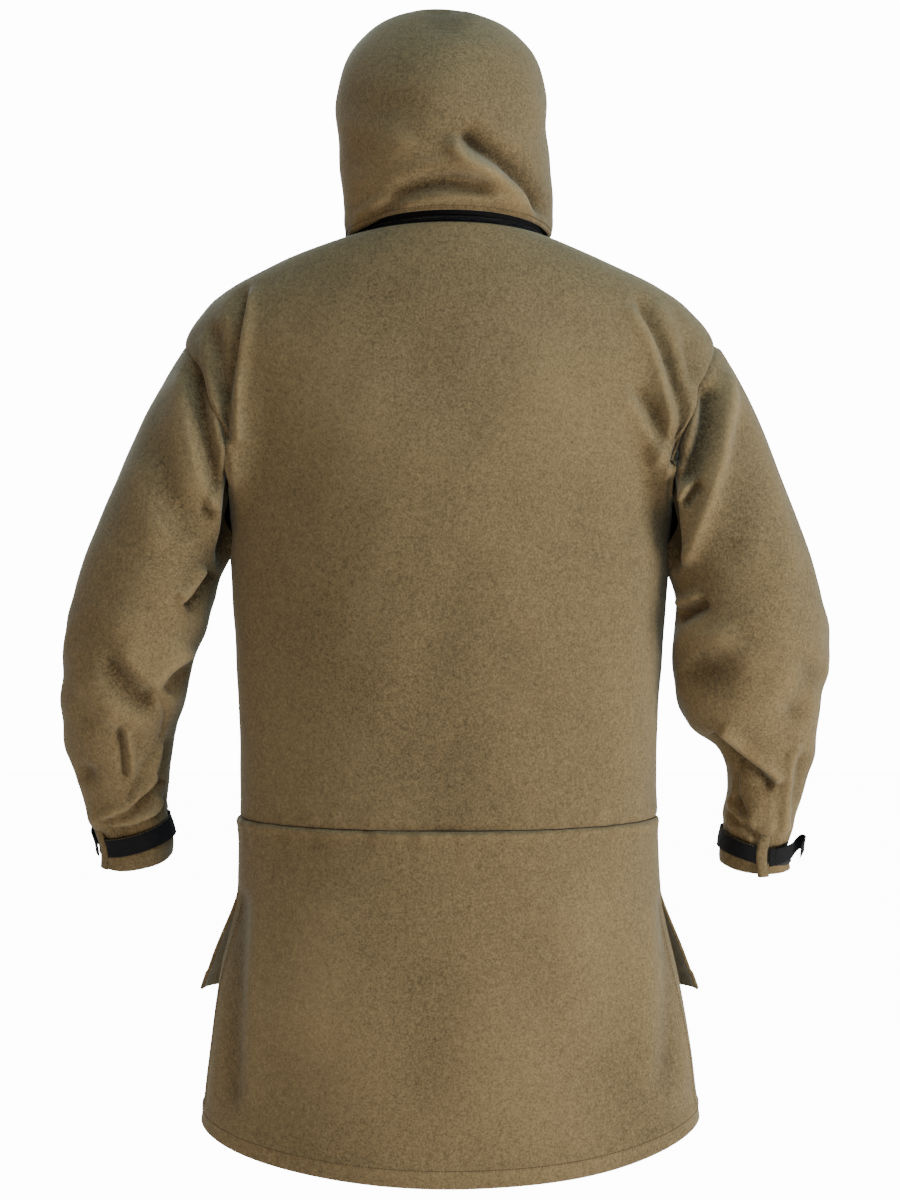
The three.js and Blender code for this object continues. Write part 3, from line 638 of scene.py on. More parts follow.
def shader_group(name, inputs, outputs):
    """A new shader group with its sockets, and its input and output nodes."""
    tree = bpy.data.node_groups.new(name, "ShaderNodeTree")
    for label, kind, default in inputs:
        socket = tree.interface.new_socket(label, in_out="INPUT", socket_type=kind)
        if default is not None:
            socket.default_value = default
    for label, kind in outputs:
        tree.interface.new_socket(label, in_out="OUTPUT", socket_type=kind)
    return tree, tree.nodes.new("NodeGroupInput"), tree.nodes.new("NodeGroupOutput")


def nap_group():
    """Brushed fleece: blotches, clumps of pile and fine fibres, with painted shade and light by fold
    height: darker down in folds, lighter on raised cloth.
    """
    tree, gin, gout = shader_group(
        "Fleece nap",
        [
            ("Place", "NodeSocketVector", None),
            ("Colour", "NodeSocketColor", (0.2, 0.15, 0.08, 1)),
            ("Blotch", "NodeSocketFloat", 0.16), ("Clump", "NodeSocketFloat", 0.8),
            ("Grain", "NodeSocketFloat", 1.5), ("Fold", "NodeSocketFloat", 0.0),
        ],
        [
            ("Colour", "NodeSocketColor"), ("Height", "NodeSocketFloat"),
            ("Roughness", "NodeSocketFloat"),
        ],
    )

    def noise(scale, detail):
        place = {"Vector": gin.outputs["Place"], "Scale": scale, "Detail": detail, "Roughness": 0.6}
        return add_node(tree, "ShaderNodeTexNoise", place).outputs["Fac"]

    blotch, clump, grain = noise(34, 3), noise(190, 3), noise(460, 2)
    total = 1.0
    for source, amount in ((blotch, "Blotch"), (clump, "Clump"), (grain, "Grain")):
        swing = maths(tree, "MULTIPLY", maths(tree, "SUBTRACT", source, 0.5), gin.outputs[amount])
        total = maths(tree, "ADD", swing, total)
    # Painted shade and light: the fold height darkens the colour down in folds and lightens it on
    # raised cloth.
    shade = maths(tree, "MULTIPLY_ADD", gin.outputs["Fold"], 0.045, total)
    shade = maths(tree, "MAXIMUM", shade, 0.3)
    scaled = tinted(tree, gin.outputs["Colour"], shade)
    height = maths(tree, "MULTIPLY_ADD", clump, 0.7, maths(tree, "MULTIPLY", grain, 0.5))
    tree.links.new(scaled, gout.inputs["Colour"])
    tree.links.new(height, gout.inputs["Height"])
    rough = maths(tree, "MULTIPLY_ADD", clump, 0.12, 0.86)
    tree.links.new(rough, gout.inputs["Roughness"])
    return tree


def weave_group():
    """Woven tape: threads across and along, from flat coordinates in metres."""
    tree, gin, gout = shader_group(
        "Tape weave",
        [
            ("Place", "NodeSocketVector", None),
            ("Colour", "NodeSocketColor", (0.02, 0.02, 0.02, 1)),
            ("Thread across", "NodeSocketFloat", 0.0016),
            ("Thread along", "NodeSocketFloat", 0.0011),
            ("Contrast", "NodeSocketFloat", 0.5),
        ],
        [("Colour", "NodeSocketColor"), ("Height", "NodeSocketFloat")],
    )
    parts = add_node(tree, "ShaderNodeSeparateXYZ", {0: gin.outputs["Place"]})
    turns = []
    for axis, size in (("X", "Thread along"), ("Y", "Thread across")):
        turn = maths(tree, "DIVIDE", parts.outputs[axis], gin.outputs[size])
        turns.append(maths(tree, "MULTIPLY", turn, math.pi))
    rib = maths(tree, "ABSOLUTE", maths(tree, "SINE", turns[1]))
    rib_number = maths(tree, "FLOOR", maths(tree, "DIVIDE", turns[1], math.pi))
    offset = maths(tree, "MULTIPLY", rib_number, 1.5708)
    thread = maths(tree, "ABSOLUTE", maths(tree, "SINE", maths(tree, "ADD", turns[0], offset)))
    rib, thread = maths(tree, "POWER", rib, 0.6), maths(tree, "POWER", thread, 0.5)
    height = maths(tree, "MULTIPLY", rib, thread)
    values = {"Vector": gin.outputs["Place"], "Scale": 900, "Detail": 2}
    fuzz = add_node(tree, "ShaderNodeTexNoise", values)
    mixed = maths(tree, "MULTIPLY_ADD", fuzz.outputs["Fac"], 0.35, height)
    swing = maths(tree, "SUBTRACT", mixed, 0.6)
    shade = maths(tree, "MULTIPLY_ADD", swing, gin.outputs["Contrast"], 1.0)
    scaled = tinted(tree, gin.outputs["Colour"], shade)
    tree.links.new(scaled, gout.inputs["Colour"])
    tree.links.new(mixed, gout.inputs["Height"])
    return tree


def scuff_group():
    """Rubbed patches and fine scratches on small fittings, as a mask from 0 to 1."""
    tree, gin, gout = shader_group(
        "Scuffs",
        [("Place", "NodeSocketVector", None), ("Scale", "NodeSocketFloat", 300.0)],
        [("Mask", "NodeSocketFloat")],
    )
    values = {"Vector": gin.outputs["Place"], "Scale": gin.outputs["Scale"]}
    rough = add_node(tree, "ShaderNodeTexNoise", {**values, "Detail": 6, "Roughness": 0.7})
    mask = maths(tree, "MULTIPLY", maths(tree, "SUBTRACT", rough.outputs["Fac"], 0.5), 6)
    mask = add_node(tree, "ShaderNodeClamp", {"Value": mask}).outputs[0]
    tree.links.new(mask, gout.inputs["Mask"])
    return tree


def place_of(tree, source="Object"):
    return add_node(tree, "ShaderNodeTexCoord").outputs[source]


def new_material(name, colour, settings):
    """A material with its Principled shader and the settings that are the same all over."""
    material = bpy.data.materials.new(name)
    material.use_nodes = True
    material.diffuse_color = (*colour, 1)
    tree = material.node_tree
    shader = tree.nodes["Principled BSDF"]
    for key, value in settings.items():
        shader.inputs[key].default_value = value
    return material, tree, shader


def fill_group(tree, group, values):
    return add_node(tree, "ShaderNodeGroup", values, node_tree=group)


def dress(tree, shader, colour, height, distance, strength):
    """Gives a shader its colour, and a bump of some distance from a height."""
    values = {"Height": height, "Distance": distance, "Strength": strength}
    bump = add_node(tree, "ShaderNodeBump", values)
    tree.links.new(colour, shader.inputs["Base Color"])
    tree.links.new(bump.outputs[0], shader.inputs["Normal"])


def fleece_material(name, colour, sheen_tint):
    sheen = {"Sheen Weight": 0.22, "Sheen Roughness": 0.45, "Sheen Tint": (*sheen_tint, 1)}
    material, tree, shader = new_material(name, colour, {**sheen, "Specular IOR Level": 0.12})
    # The fold attribute carries each point's fold height into the painted fold shade and light of the
    # colour.
    fold = add_node(tree, "ShaderNodeAttribute", attribute_name="fold").outputs["Fac"]
    values = {"Place": place_of(tree), "Colour": (*colour, 1), "Fold": fold}
    nap = fill_group(tree, GROUPS["nap"], values).outputs
    tree.links.new(nap["Roughness"], shader.inputs["Roughness"])
    dress(tree, shader, nap["Colour"], nap["Height"], 0.0011, 0.55)
    return material


def woven_material(name, colour, across, along, contrast, depth):
    material, tree, shader = new_material(
        name, colour, {"Sheen Weight": 0.02, "Specular IOR Level": 0.16, "Roughness": 0.82}
    )
    values = {
        "Place": place_of(tree, "UV"), "Colour": (*colour, 1), "Thread across": across,
        "Thread along": along, "Contrast": contrast,
    }
    weave = fill_group(tree, GROUPS["weave"], values).outputs
    dress(tree, shader, weave["Colour"], weave["Height"], depth, 0.8)
    return material


def scuffed_material(name, colour, worn, roughness, metal):
    """Plastic or metal whose rubbed patches are lighter and rougher."""
    even = {"Metallic": metal, "Specular IOR Level": 0.5}
    material, tree, shader = new_material(name, colour, even)
    values = {"Place": place_of(tree), "Scale": 420.0}
    mask = fill_group(tree, GROUPS["scuffs"], values).outputs["Mask"]
    rough = maths(tree, "MULTIPLY_ADD", mask, 0.25, roughness)
    tree.links.new(rough, shader.inputs["Roughness"])
    dress(tree, shader, mix_colours(tree, mask, colour, worn), mask, 0.0001, 0.3)
    return material


def loop_pile_material(name, colour):
    """Hook tape: a dense field of small hooks, as cells with bright tips."""
    even = {"Roughness": 0.8, "Specular IOR Level": 0.3}
    material, tree, shader = new_material(name, colour, even)
    cells = add_node(tree, "ShaderNodeTexVoronoi", {"Vector": place_of(tree), "Scale": 900.0})
    tip = maths(tree, "SUBTRACT", 1.0, cells.outputs["Distance"])
    shade = mix_colours(tree, tip, (0.004, 0.004, 0.005), colour)
    dress(tree, shader, shade, tip, 0.0008, 0.9)
    return material


GROUPS = {}
FINISH = {}

# ---------------------------------------------------------------- repeats along lines

REPEAT_INPUTS = [
    ("Pitch", "NodeSocketFloat"), ("Length", "NodeSocketFloat"), ("Width", "NodeSocketFloat"),
    ("Height", "NodeSocketFloat"), ("Jitter", "NodeSocketFloat"), ("Seed", "NodeSocketInt"),
    ("Finish", "NodeSocketMaterial"),
]


def repeat_tree():
    """Node tree that sets small beads along a mesh's edges.

    Each bead is turned to its line and faces along the mesh's out attribute.
    """
    tree = bpy.data.node_groups.new("Repeats along a line", "GeometryNodeTree")
    tree.interface.new_socket("Geometry", in_out="INPUT", socket_type="NodeSocketGeometry")
    for label, kind in REPEAT_INPUTS:
        tree.interface.new_socket(label, in_out="INPUT", socket_type=kind)
    tree.interface.new_socket("Geometry", in_out="OUTPUT", socket_type="NodeSocketGeometry")
    gin, gout = tree.nodes.new("NodeGroupInput"), tree.nodes.new("NodeGroupOutput")
    line = add_node(tree, "GeometryNodeMeshToCurve", {"Mesh": gin.outputs["Geometry"]})
    spread = add_node(
        tree,
        "GeometryNodeResampleCurve",
        {"Curve": line.outputs[0], "Length": gin.outputs["Pitch"]},
        mode="LENGTH",
    )
    bead = add_node(tree, "GeometryNodeMeshUVSphere", {"Segments": 8, "Rings": 5, "Radius": 0.5})
    along = tree.nodes.new("GeometryNodeInputTangent")
    align = "FunctionNodeAlignRotationToVector"
    turned = add_node(tree, align, {"Vector": along.outputs[0]}, axis="X")
    named = "GeometryNodeInputNamedAttribute"
    out = add_node(tree, named, {"Name": "out"}, data_type="FLOAT_VECTOR")
    values = {"Rotation": turned.outputs[0], "Vector": out.outputs[0]}
    faced = add_node(tree, align, values, axis="Z", pivot_axis="X")
    low = maths(tree, "SUBTRACT", 1.0, gin.outputs["Jitter"])
    high = maths(tree, "ADD", 1.0, gin.outputs["Jitter"])
    random = tree.nodes.new("FunctionNodeRandomValue")
    random.data_type = "FLOAT"
    floats = [s for s in random.inputs if s.type == "VALUE"]
    tree.links.new(low, floats[0])
    tree.links.new(high, floats[1])
    tree.links.new(gin.outputs["Seed"], random.inputs["Seed"])
    swing = [s for s in random.outputs if s.type == "VALUE"][0]
    length = maths(tree, "MULTIPLY", gin.outputs["Length"], swing)
    size = add_node(
        tree,
        "ShaderNodeCombineXYZ",
        {"X": length, "Y": gin.outputs["Width"], "Z": gin.outputs["Height"]},
    )
    beads = add_node(
        tree,
        "GeometryNodeInstanceOnPoints",
        {
            "Points": spread.outputs[0], "Instance": bead.outputs[0], "Rotation": faced.outputs[0],
            "Scale": size.outputs[0],
        },
    )
    real = add_node(tree, "GeometryNodeRealizeInstances", {"Geometry": beads.outputs[0]})
    values = {"Geometry": real.outputs[0], "Material": gin.outputs["Finish"]}
    finish = add_node(tree, "GeometryNodeSetMaterial", values)
    tree.links.new(finish.outputs[0], gout.inputs[0])
    return tree


def repeats(name, lines, tree, values, material):
    """One plain mesh of beads along lines of (points, outward normals) in millimetres."""
    points, edges, outs = [], [], []
    for line, normals in lines:
        start = len(points)
        points += (np.asarray(line) * MM).tolist()
        outs += np.asarray(normals).tolist()
        edges += [(start + i, start + i + 1) for i in range(len(line) - 1)]
    mesh = bpy.data.meshes.new(name + "_line")
    mesh.from_pydata(points, edges, [])
    mesh.attributes.new("out", "FLOAT_VECTOR", "POINT").data.foreach_set("vector", np.ravel(outs))
    obj = bpy.data.objects.new(name + "_line", mesh)
    bpy.context.scene.collection.objects.link(obj)
    modifier = obj.modifiers.new("Repeats", "NODES")
    modifier.node_group = tree
    for item in tree.interface.items_tree:
        if item.item_type == "SOCKET" and item.in_out == "INPUT" and item.name in values:
            modifier[item.identifier] = values[item.name]
        if item.item_type == "SOCKET" and item.name == "Finish":
            modifier[item.identifier] = material
    graph = bpy.context.evaluated_depsgraph_get()
    result = bpy.data.meshes.new_from_object(obj.evaluated_get(graph))
    bpy.data.objects.remove(obj)
    if not result.polygons:
        raise RuntimeError(f"{name}: no beads were made")
    result.name = name
    return new_object(name, result, material)


def stitch_values(sizes, seed):
    """Inputs of the bead tree for a line of stitches."""
    return {
        "Pitch": sizes.stitch_pitch, "Length": sizes.stitch_pitch * 0.78, "Width": 0.0011,
        "Height": 0.0008, "Jitter": 0.12, "Seed": seed,
    }


STITCHES = {}


def add_stitches(group, points, normals, raise_by=0.15):
    """Keeps a stitch line for later; points lie on the cloth."""
    STITCHES.setdefault(group, []).append((points + normals * raise_by, normals))


# ---------------------------------------------------------------- pieces


def facing_back(normals, low=-0.15, high=0.3):
    return smoothstep(normals[:, 1], low, high)


def body_height(sizes, folds, low=-0.15):
    """Folds of the smock's body or arms behind, the same turned round in front, and soft waves."""

    def height(points, normals, _rows=None, _cols=None):
        flat = points[:, [0, 2]]
        strength = sizes.fold_strength
        behind = fold_height(flat, folds, strength)
        before = fold_height(flat * (-1, 1), folds, strength)
        lift = behind * facing_back(normals, low, low + 0.45)
        lift = lift + 0.7 * before * facing_back(-normals, 0.1, 0.5)
        return lift + waves(points, 3, 150) * 1.6 + waves(points, 4, 60) * 0.5

    return height


def puckers(points, z, seed, reach=22.0):
    """Small gathers that fade away from a level seam."""
    return waves(points * (1, 1, 0.35), seed, 17) * 0.9 * bell(points[:, 2], z, reach)


def waist_welt(points, normals, seed):
    """Rounded welt of gathered cloth just below the waist seam."""
    below = np.clip(WAIST_Z - points[:, 2], 0, None)
    full = 0.35 + 0.65 * smoothstep(np.abs(normals[:, 1]), 0.1, 0.6)
    welt = (3.1 + waves(points, seed, 40)) * bell(below, 5.5, 3.2)
    return welt * full - 1.4 * np.exp(-below / 1.5)


def make_body(sizes):
    thick = sizes.cloth / MM
    last = len(TORSO) - 1
    rows = spaced(torso_point, 0.1, last, CLOTH_STEP)
    lift_body = body_height(sizes, BODY_FOLDS)

    def height(points, normals, _rows, _cols):
        lift = lift_body(points, normals)
        above = points[:, 2] - WAIST_Z
        dip = -1.6 * np.exp(-np.clip(above, 0, None) / 2.5)
        blades = 3.5 * bell(np.abs(points[:, 0]), 95, 55) * bell(points[:, 2], -170, 90)
        spine = -3.0 * bell(points[:, 0], 0, 50) * smoothstep(-points[:, 2], 180, 420)
        neck = smoothstep(points[:, 2], -40, -6)
        ease = facing_back(normals)
        soft = (blades + spine) * ease
        by_zip = bell(points[:, 0], 0, 27) * smoothstep(-points[:, 1], 0, 30)
        flat = by_zip * smoothstep(points[:, 2], -345, -305)
        return (lift + soft) * (1 - neck) * (1 - flat) + dip + puckers(points, WAIST_Z, 11)

    def armholes(grid):
        middle = (grid[:-1, :-1] + grid[1:, 1:]) / 2
        keep = np.ones(middle.shape[:2], bool)
        for side in SLEEVES:
            near = (np.abs(middle[..., 0]) > 150) & (middle[..., 0] * SIGN[side] > 0)
            spots = middle[near]
            inside = (sleeve_reach(side, spots) < -3) & (past_armhole(side, spots) > 9)
            low = np.zeros(middle.shape[:2], bool)
            low[near] = inside
            keep &= ~low
        return keep

    fleece = FINISH["fleece"]
    back = over_sleeves(torso_point(rows[:, None], angles(0, 180, 180)[None, :]))
    obj, moved, out = cloth("smock_back", back, thick, fleece, height, armholes(back))
    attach(obj, "garment")
    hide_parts("back_panel")
    declare(back)
    neck_row, cols = 4, slice(6, -6)
    add_stitches("garment", moved[neck_row, cols], out[neck_row, cols])

    half = stations(TORSO, rows)[:, 1]
    z = torso_point(rows, 270)[:, 2]
    gap = 6.2 * smoothstep(z, -292, -288)
    spread = np.degrees(np.arcsin(np.clip(gap / half, 0, 1)))
    share = angles(0, 1, 84, (0.003, 0.009))
    right = 180 + (90 - spread[:, None]) * share
    left = 270 + spread[:, None] + (90 - spread[:, None]) * share
    turn = np.concatenate([right, left], axis=1)
    front = over_sleeves(torso_point(rows[:, None], turn))
    keep = armholes(front)
    keep[:, len(share) - 1] = False
    obj, moved, out = cloth("smock_front", front, thick, fleece, height, keep)
    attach(obj, "garment")
    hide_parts("front_panel")
    declare(front)
    slit = z > -286
    for column in (len(share) - 5, len(share) + 4):
        add_stitches("garment", moved[slit, column], out[slit, column])


def turned_edge(distance, width, height):
    """Extra height of cloth that is turned in along an edge."""
    return height * (1 - smoothstep(distance, width, width + 3))


def make_skirts(sizes):
    thick = sizes.cloth / MM
    fleece = FINISH["fleece"]
    last = len(SKIRT) - 1

    def tail_height(points, normals, _rows, _cols):
        below = -(points[:, 2] - WAIST_Z)
        lift = fold_height(points[:, [0, 2]], TAIL_FOLDS, sizes.fold_strength)
        lift = lift * facing_back(normals)
        lift = lift + waves(points * (1, 1, 0.4), 21, 150) * 3.2 * smoothstep(below, 30, 240)
        return lift + puckers(points, WAIST_Z, 12) + waist_welt(points, normals, 14)

    rows = spaced(tail_point, 0, last, SKIRT_STEP)
    turn = angles(0, 180, 176)
    grid = tail_point(rows[:, None], turn[None, :])
    down = grid_uv(grid)[..., 1]
    from_hem = down[-1] - down
    hem = turned_edge(from_hem, HEM, 1.3)
    vent = smoothstep(-grid[..., 2], -VENT_Z, -VENT_Z + 30)
    across = grid_uv(grid)[..., 0]
    edge = np.minimum(across, across[:, -1:] - across)
    side = turned_edge(edge, VENT_HEM, 1.1) * vent
    hemmed = np.maximum(hem, side) + 1.3 * bell(from_hem, 17, 4)

    def with_hem(points, normals, r, c):
        return tail_height(points, normals, r, c) + hemmed[r, c]

    obj, moved, out = cloth("dropped_tail", grid, thick, fleece, with_hem)
    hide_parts("tail_panel")
    declare(grid)
    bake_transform(obj)
    hem_row = int(np.argmin(np.abs(from_hem[:, len(turn) // 2] - HEM)))
    inset = int(np.argmin(np.abs(across[hem_row] - VENT_HEM)))
    add_stitches("tail", moved[hem_row, inset:-inset], out[hem_row, inset:-inset])
    vent_rows = (grid[:, 0, 2] < VENT_Z - 6) & (np.arange(len(rows)) <= hem_row)
    for column in (inset, len(turn) - 1 - inset):
        add_stitches("tail", moved[vent_rows, column], out[vent_rows, column])

    rows = spaced(front_skirt_point, 0, FRONT_END_T, SKIRT_STEP)
    turn = angles(180, 360, 160)
    grid = front_skirt_point(rows[:, None], turn[None, :])
    down = grid_uv(grid)[..., 1]
    from_hem = down[-1] - down
    hem = turned_edge(from_hem, HEM, 1.3)

    def front_height(points, normals, r, c):
        below = -(points[:, 2] - WAIST_Z)
        lift = waves(points * (1, 1, 0.4), 22, 120) * 3.0 * smoothstep(below, 20, 160)
        return lift + puckers(points, WAIST_Z, 13) + waist_welt(points, normals, 15) + hem[r, c]

    obj, moved, out = cloth("front_skirt_cloth", grid, thick, fleece, front_height)
    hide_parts("front_skirt_panel")
    declare(grid)
    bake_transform(obj)
    hem_row = int(np.argmin(np.abs(from_hem[:, len(turn) // 2] - HEM)))
    add_stitches("front_skirt", moved[hem_row, 4:-4], out[hem_row, 4:-4])


def make_hood(sizes):
    thick = sizes.cloth / MM
    fleece = FINISH["fleece"]
    last = len(HOOD) - 1
    rows = spaced(hood_point, 0, last, HOOD_STEP)[::-1]
    front = stations(HOOD, rows)[:, 5]
    depth_edge = BRIM_EDGE_Y + (FACE_EDGE_Y - BRIM_EDGE_Y) * smoothstep(rows, 1.9, 2.2)
    start = -np.degrees(np.arcsin(np.clip(-depth_edge / np.maximum(front, 1e-6), 0, 1)))
    share = angles(0, 1, 190, (0.002, 0.006))
    turn = start[:, None] + (180 - 2 * start[:, None]) * share
    grid = hood_point(rows[:, None], turn)
    drape = bell(grid[..., 0], 100, 20) * smoothstep(grid[..., 1], -60, 0)
    drape *= 1 - smoothstep(rows, 0, 1.3)[:, None]
    grid[..., 2] -= 9 * drape
    grid[..., 0] += 4 * drape
    grid[..., 1] += 3 * drape

    def height(points, normals, _rows, _cols):
        behind = facing_back(normals)
        flat = points[:, [0, 2]]
        lift = fold_height(flat, HOOD_FOLDS, sizes.fold_strength) * behind
        lift = lift + 0.6 * fold_height(flat * (-1, 1), HOOD_FOLDS[:3], 1.0) * (1 - behind)
        slump = waves(points * (0.7, 1, 1.6), 31, 70) * 1.7 * smoothstep(points[:, 2], 190, 110)
        bottom = bell(points[:, 2] - 0.21 * points[:, 1], 4, 7)
        return (lift + slump) * (1 - 0.5 * bottom) + waves(points, 32, 150) * 1.4

    obj, moved, out = cloth("hood_shell", grid, thick, fleece, height)
    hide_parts("hood_crown", "hood_neck")
    declare(grid)
    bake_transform(obj)
    seam = len(rows) - 5
    add_stitches("hood", moved[seam, 4:-4], out[seam, 4:-4])
    add_stitches("hood", moved[30:seam, 4], out[30:seam, 4])
    add_stitches("hood", moved[30:seam, -5], out[30:seam, -5])
    make_brim(sizes)


def make_brim(sizes):
    """The doubled edge round the face opening, a little fuller than the crown behind it."""
    t = np.linspace(1.0, len(HOOD) - 1, 900)
    table = stations(HOOD, t)
    foot = 2.1
    lanes = []
    inward = np.linspace(BRIM_EDGE_Y + 3, FACE_EDGE_Y - 0.4, 7)
    for y in (BRIM_EDGE_Y, BRIM_EDGE_Y + 1, *inward, FACE_EDGE_Y + 2.5, FACE_EDGE_Y + 4):
        reach = table[:, 5] > -y
        top_t = np.interp(0, -y - table[reach, 5][-5:], t[reach][-5:])
        place = np.sin(np.linspace(-1, 1, 150) * math.pi / 2)
        rise = np.sqrt(np.clip(1 - place**2, 0, 1))
        level = foot + (top_t - foot) * rise
        s = stations(HOOD, level)
        half = s[:, 1] * np.sqrt(np.clip(1 - (y / np.maximum(s[:, 5], -y)) ** 2, 0, 1))
        x = half * np.sign(place)
        z = s[:, 0] + np.tan(np.radians(s[:, 4])) * y
        x = x + hood_lean(z)
        lanes.append(np.stack([x, np.full_like(x, y), z], -1))
    grid = np.array(lanes)
    middle = (BRIM_EDGE_Y + FACE_EDGE_Y) / 2

    def height(points, normals, _rows, _cols):
        puff = 1.8 * bell(points[:, 1], middle, 6)
        return puff + 0.5 + waves(points, 33, 45) * 0.5

    obj, moved, out = cloth("hood_brim_cloth", grid, sizes.cloth / MM, FINISH["fleece"], height)
    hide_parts("hood_brim")
    declare(grid)
    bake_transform(obj)
    add_stitches("hood", moved[6, 3:-3], out[6, 3:-3])


def neck_to_garment(points):
    """Turns points of the neck ring's own frame into the garment's frame."""
    c, s = math.cos(NECK_TILT), math.sin(NECK_TILT)
    y, z = points[..., 1], points[..., 2]
    return np.stack([points[..., 0], c * y - s * z, s * y + c * z], -1)


def neck_band(radius, low, high, start, end, steps, rows=3):
    u = np.radians(angles(start, end, steps, (0.4, 1.2)))
    inner = np.linspace(high - 1.5, low + 1.5, rows)
    v = np.concatenate([[high, high - 0.5], inner, [low + 0.5, low]])
    u, v = np.meshgrid(u, v)
    return neck_to_garment(np.stack([radius * np.cos(u), radius * np.sin(u), v], -1))


def neck_line(radius, level, start, end, steps=420):
    u = np.radians(np.linspace(start, end, steps))
    points = np.stack([radius * np.cos(u), radius * np.sin(u), np.full_like(u, level)], -1)
    outs = np.stack([np.cos(u), np.sin(u), np.zeros_like(u)], -1)
    return neck_to_garment(points), neck_to_garment(outs)


def make_collar(sizes):
    thick = sizes.cloth / MM
    grid = neck_band(COLLAR_RADIUS, -14, 44, -80, 260, 150, 12)

    def height(points, normals, _rows, _cols):
        return waves(points, 41, 60) * 0.8

    obj, moved, out = cloth("stand_collar_cloth", grid, thick, FINISH["facing"], height)
    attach(obj, "garment")
    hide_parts("stand_collar")
    declare(grid)
    add_stitches("garment", moved[4, 3:-3], out[4, 3:-3])

    low, high = (np.array(corner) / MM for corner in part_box("hanging_loop"))
    x = np.linspace(low[0], high[0], 60)
    reach = (high[0] - low[0]) / 2
    bow = smoothstep(reach - np.abs(x), 7, 15)
    y = high[1] - 0.2 - (high[1] - low[1] - 1.8) * bow
    middle = np.stack([x, y, np.full_like(x, (low[2] + high[2]) / 2)], -1)
    side = np.tile([0.0, 0.0, 1.0], (60, 1))
    inward = np.tile([0.0, -1.0, 0.0], (60, 1))
    wide = high[2] - low[2]
    obj, _, _ = strip("hanging_loop_tape", middle, side, inward, wide, 1.5, FINISH["webbing"])
    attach(obj, "garment")
    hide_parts("hanging_loop")


def station_at(side, z):
    """Row number at which a sleeve's middle passes a height."""
    t = np.linspace(0, len(SLEEVES[side]) - 1, 2000)
    return float(np.interp(-z, -stations(SLEEVES[side], t)[:, 2], t))


# Height of each band's middle, how far it slants, how far the forearm is turned, how many
# stations the cuff's inner edge lies above its outer one, the angle at which the tab leaves the
# cuff, how long its loose end is, and how far it stands off where it leaves.
CUFFS = {
    "left": {
        "band": -624.0, "slant": 0.16, "turn": -64, "rise": 0.35, "hug": 4, "free": 6.0, "stand": 4.0,
    },
    "right": {
        "band": -637.0, "slant": 0.26, "turn": -14, "rise": 0.3, "hug": 42, "free": 10.0, "stand": 1.5,
    },
}
BAND_WIDTH = 20
WEBBING = 1.6
# The places of a webbing's lanes across its width, and the angle at which its tab starts.
LANES = np.array([-1, -0.94, -0.6, -0.2, 0.2, 0.6, 0.94, 1])
TAB_ANGLE = 88


def band_t(side, degrees, offset=0.0):
    """Row number at each angle of the cuff band's middle line, or of a line offset from it."""
    cuff = CUFFS[side]
    middle = station_at(side, cuff["band"])
    per_row = 28.0
    return middle + cuff["slant"] * np.cos(np.radians(degrees)) + np.asarray(offset) / per_row


def sleeve_height(side, sizes):
    lift_arm = body_height(sizes, BODY_FOLDS + ARM_FOLDS, 0.0)
    band_low = CUFFS[side]["band"]
    slim = {"left": 7.0, "right": 2.0}[side]

    def height(points, normals, _rows, _cols):
        lift = lift_arm(points, normals)
        arm = smoothstep(-points[:, 2], 330, 420)
        lift = lift + waves(points * (1, 1, 1.5), 51, 46) * 1.5 * arm
        slope = 0.18 * (np.abs(points[:, 0]) - 330)
        level = points[:, 2] + slope - band_low
        gather = waves(points * (2.2, 2.2, 0.5), 52, 30) * 1.3 * bell(level, 24, 22)
        puff = 3.4 * bell(level, 26, 11)
        nip = -2.4 * bell(level, 0, 11)
        inward = smoothstep(-normals[:, 0] * SIGN[side], 0.3, 0.8)
        beside = smoothstep(-points[:, 2], 290, 325) * (1 - smoothstep(-points[:, 2], 350, 400))
        turned = smoothstep(np.abs(normals[:, 1]), 0.12, 0.5)
        lift = lift * (1 - 0.85 * bell(level, 0, 13))
        lift = lift + (gather + puff) * (0.3 + 0.7 * turned) + nip
        return lift + sewn_in(side, points, turned) - slim * inward * beside

    return height


def make_sleeve(side, sizes):
    thick = sizes.cloth / MM
    last = len(SLEEVES[side]) - 1
    count = 160
    turn = np.linspace(0, 360, count + 1)
    probe = np.linspace(-0.4, 3.4, 380)
    cloud = sleeve_point(side, probe[:, None], turn[None, :])
    inside = (torso_reach(cloud) < -10) | (past_armhole(side, cloud) < -9)
    found = [probe[np.flatnonzero(column)[-1]] if column.any() else 0 for column in inside.T]
    spectrum = np.fft.fft(np.array(found[:-1]))
    soften = np.exp(-((np.fft.fftfreq(count) * count / 26) ** 2))
    start = np.real(np.fft.ifft(spectrum * soften))
    start = np.append(start, start[0])
    end = last - CUFFS[side]["rise"] * (1 - np.cos(np.radians(turn))) / 2
    marks = spaced(lambda t, u: sleeve_point(side, t, u), 0.6, last, CLOTH_STEP)
    share = (marks - marks[0]) / (marks[-1] - marks[0])
    t = start[None, :] + (end - start)[None, :] * share[:, None]
    grid = sleeve_point(side, t, turn[None, :])
    if side == "right":
        grid = grid[:, ::-1]
    height = sleeve_height(side, sizes)
    obj, _, _ = cloth(f"sleeve_cloth_{side}", grid, thick, FINISH["fleece"], height)
    parts = ("sleeve_head", "sleeve_outer", "sleeve_under", "cuff")
    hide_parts(*[f"{part}_{side}" for part in parts])
    declare(grid[:, :-1])
    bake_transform(obj)


def cuff_strip(name, side, start, end, width, grow, thick, material):
    """Band of webbing round part of the cuff between two angles."""
    turn = np.linspace(start, end, 60)
    across = LANES * width / 2
    t = band_t(side, turn[None, :], across[:, None])
    grid = sleeve_point(side, t, turn[None, :], grow)
    if side == "right":
        grid = grid[:, ::-1]
    return cloth(name, grid, thick, material, bevel=0.35)


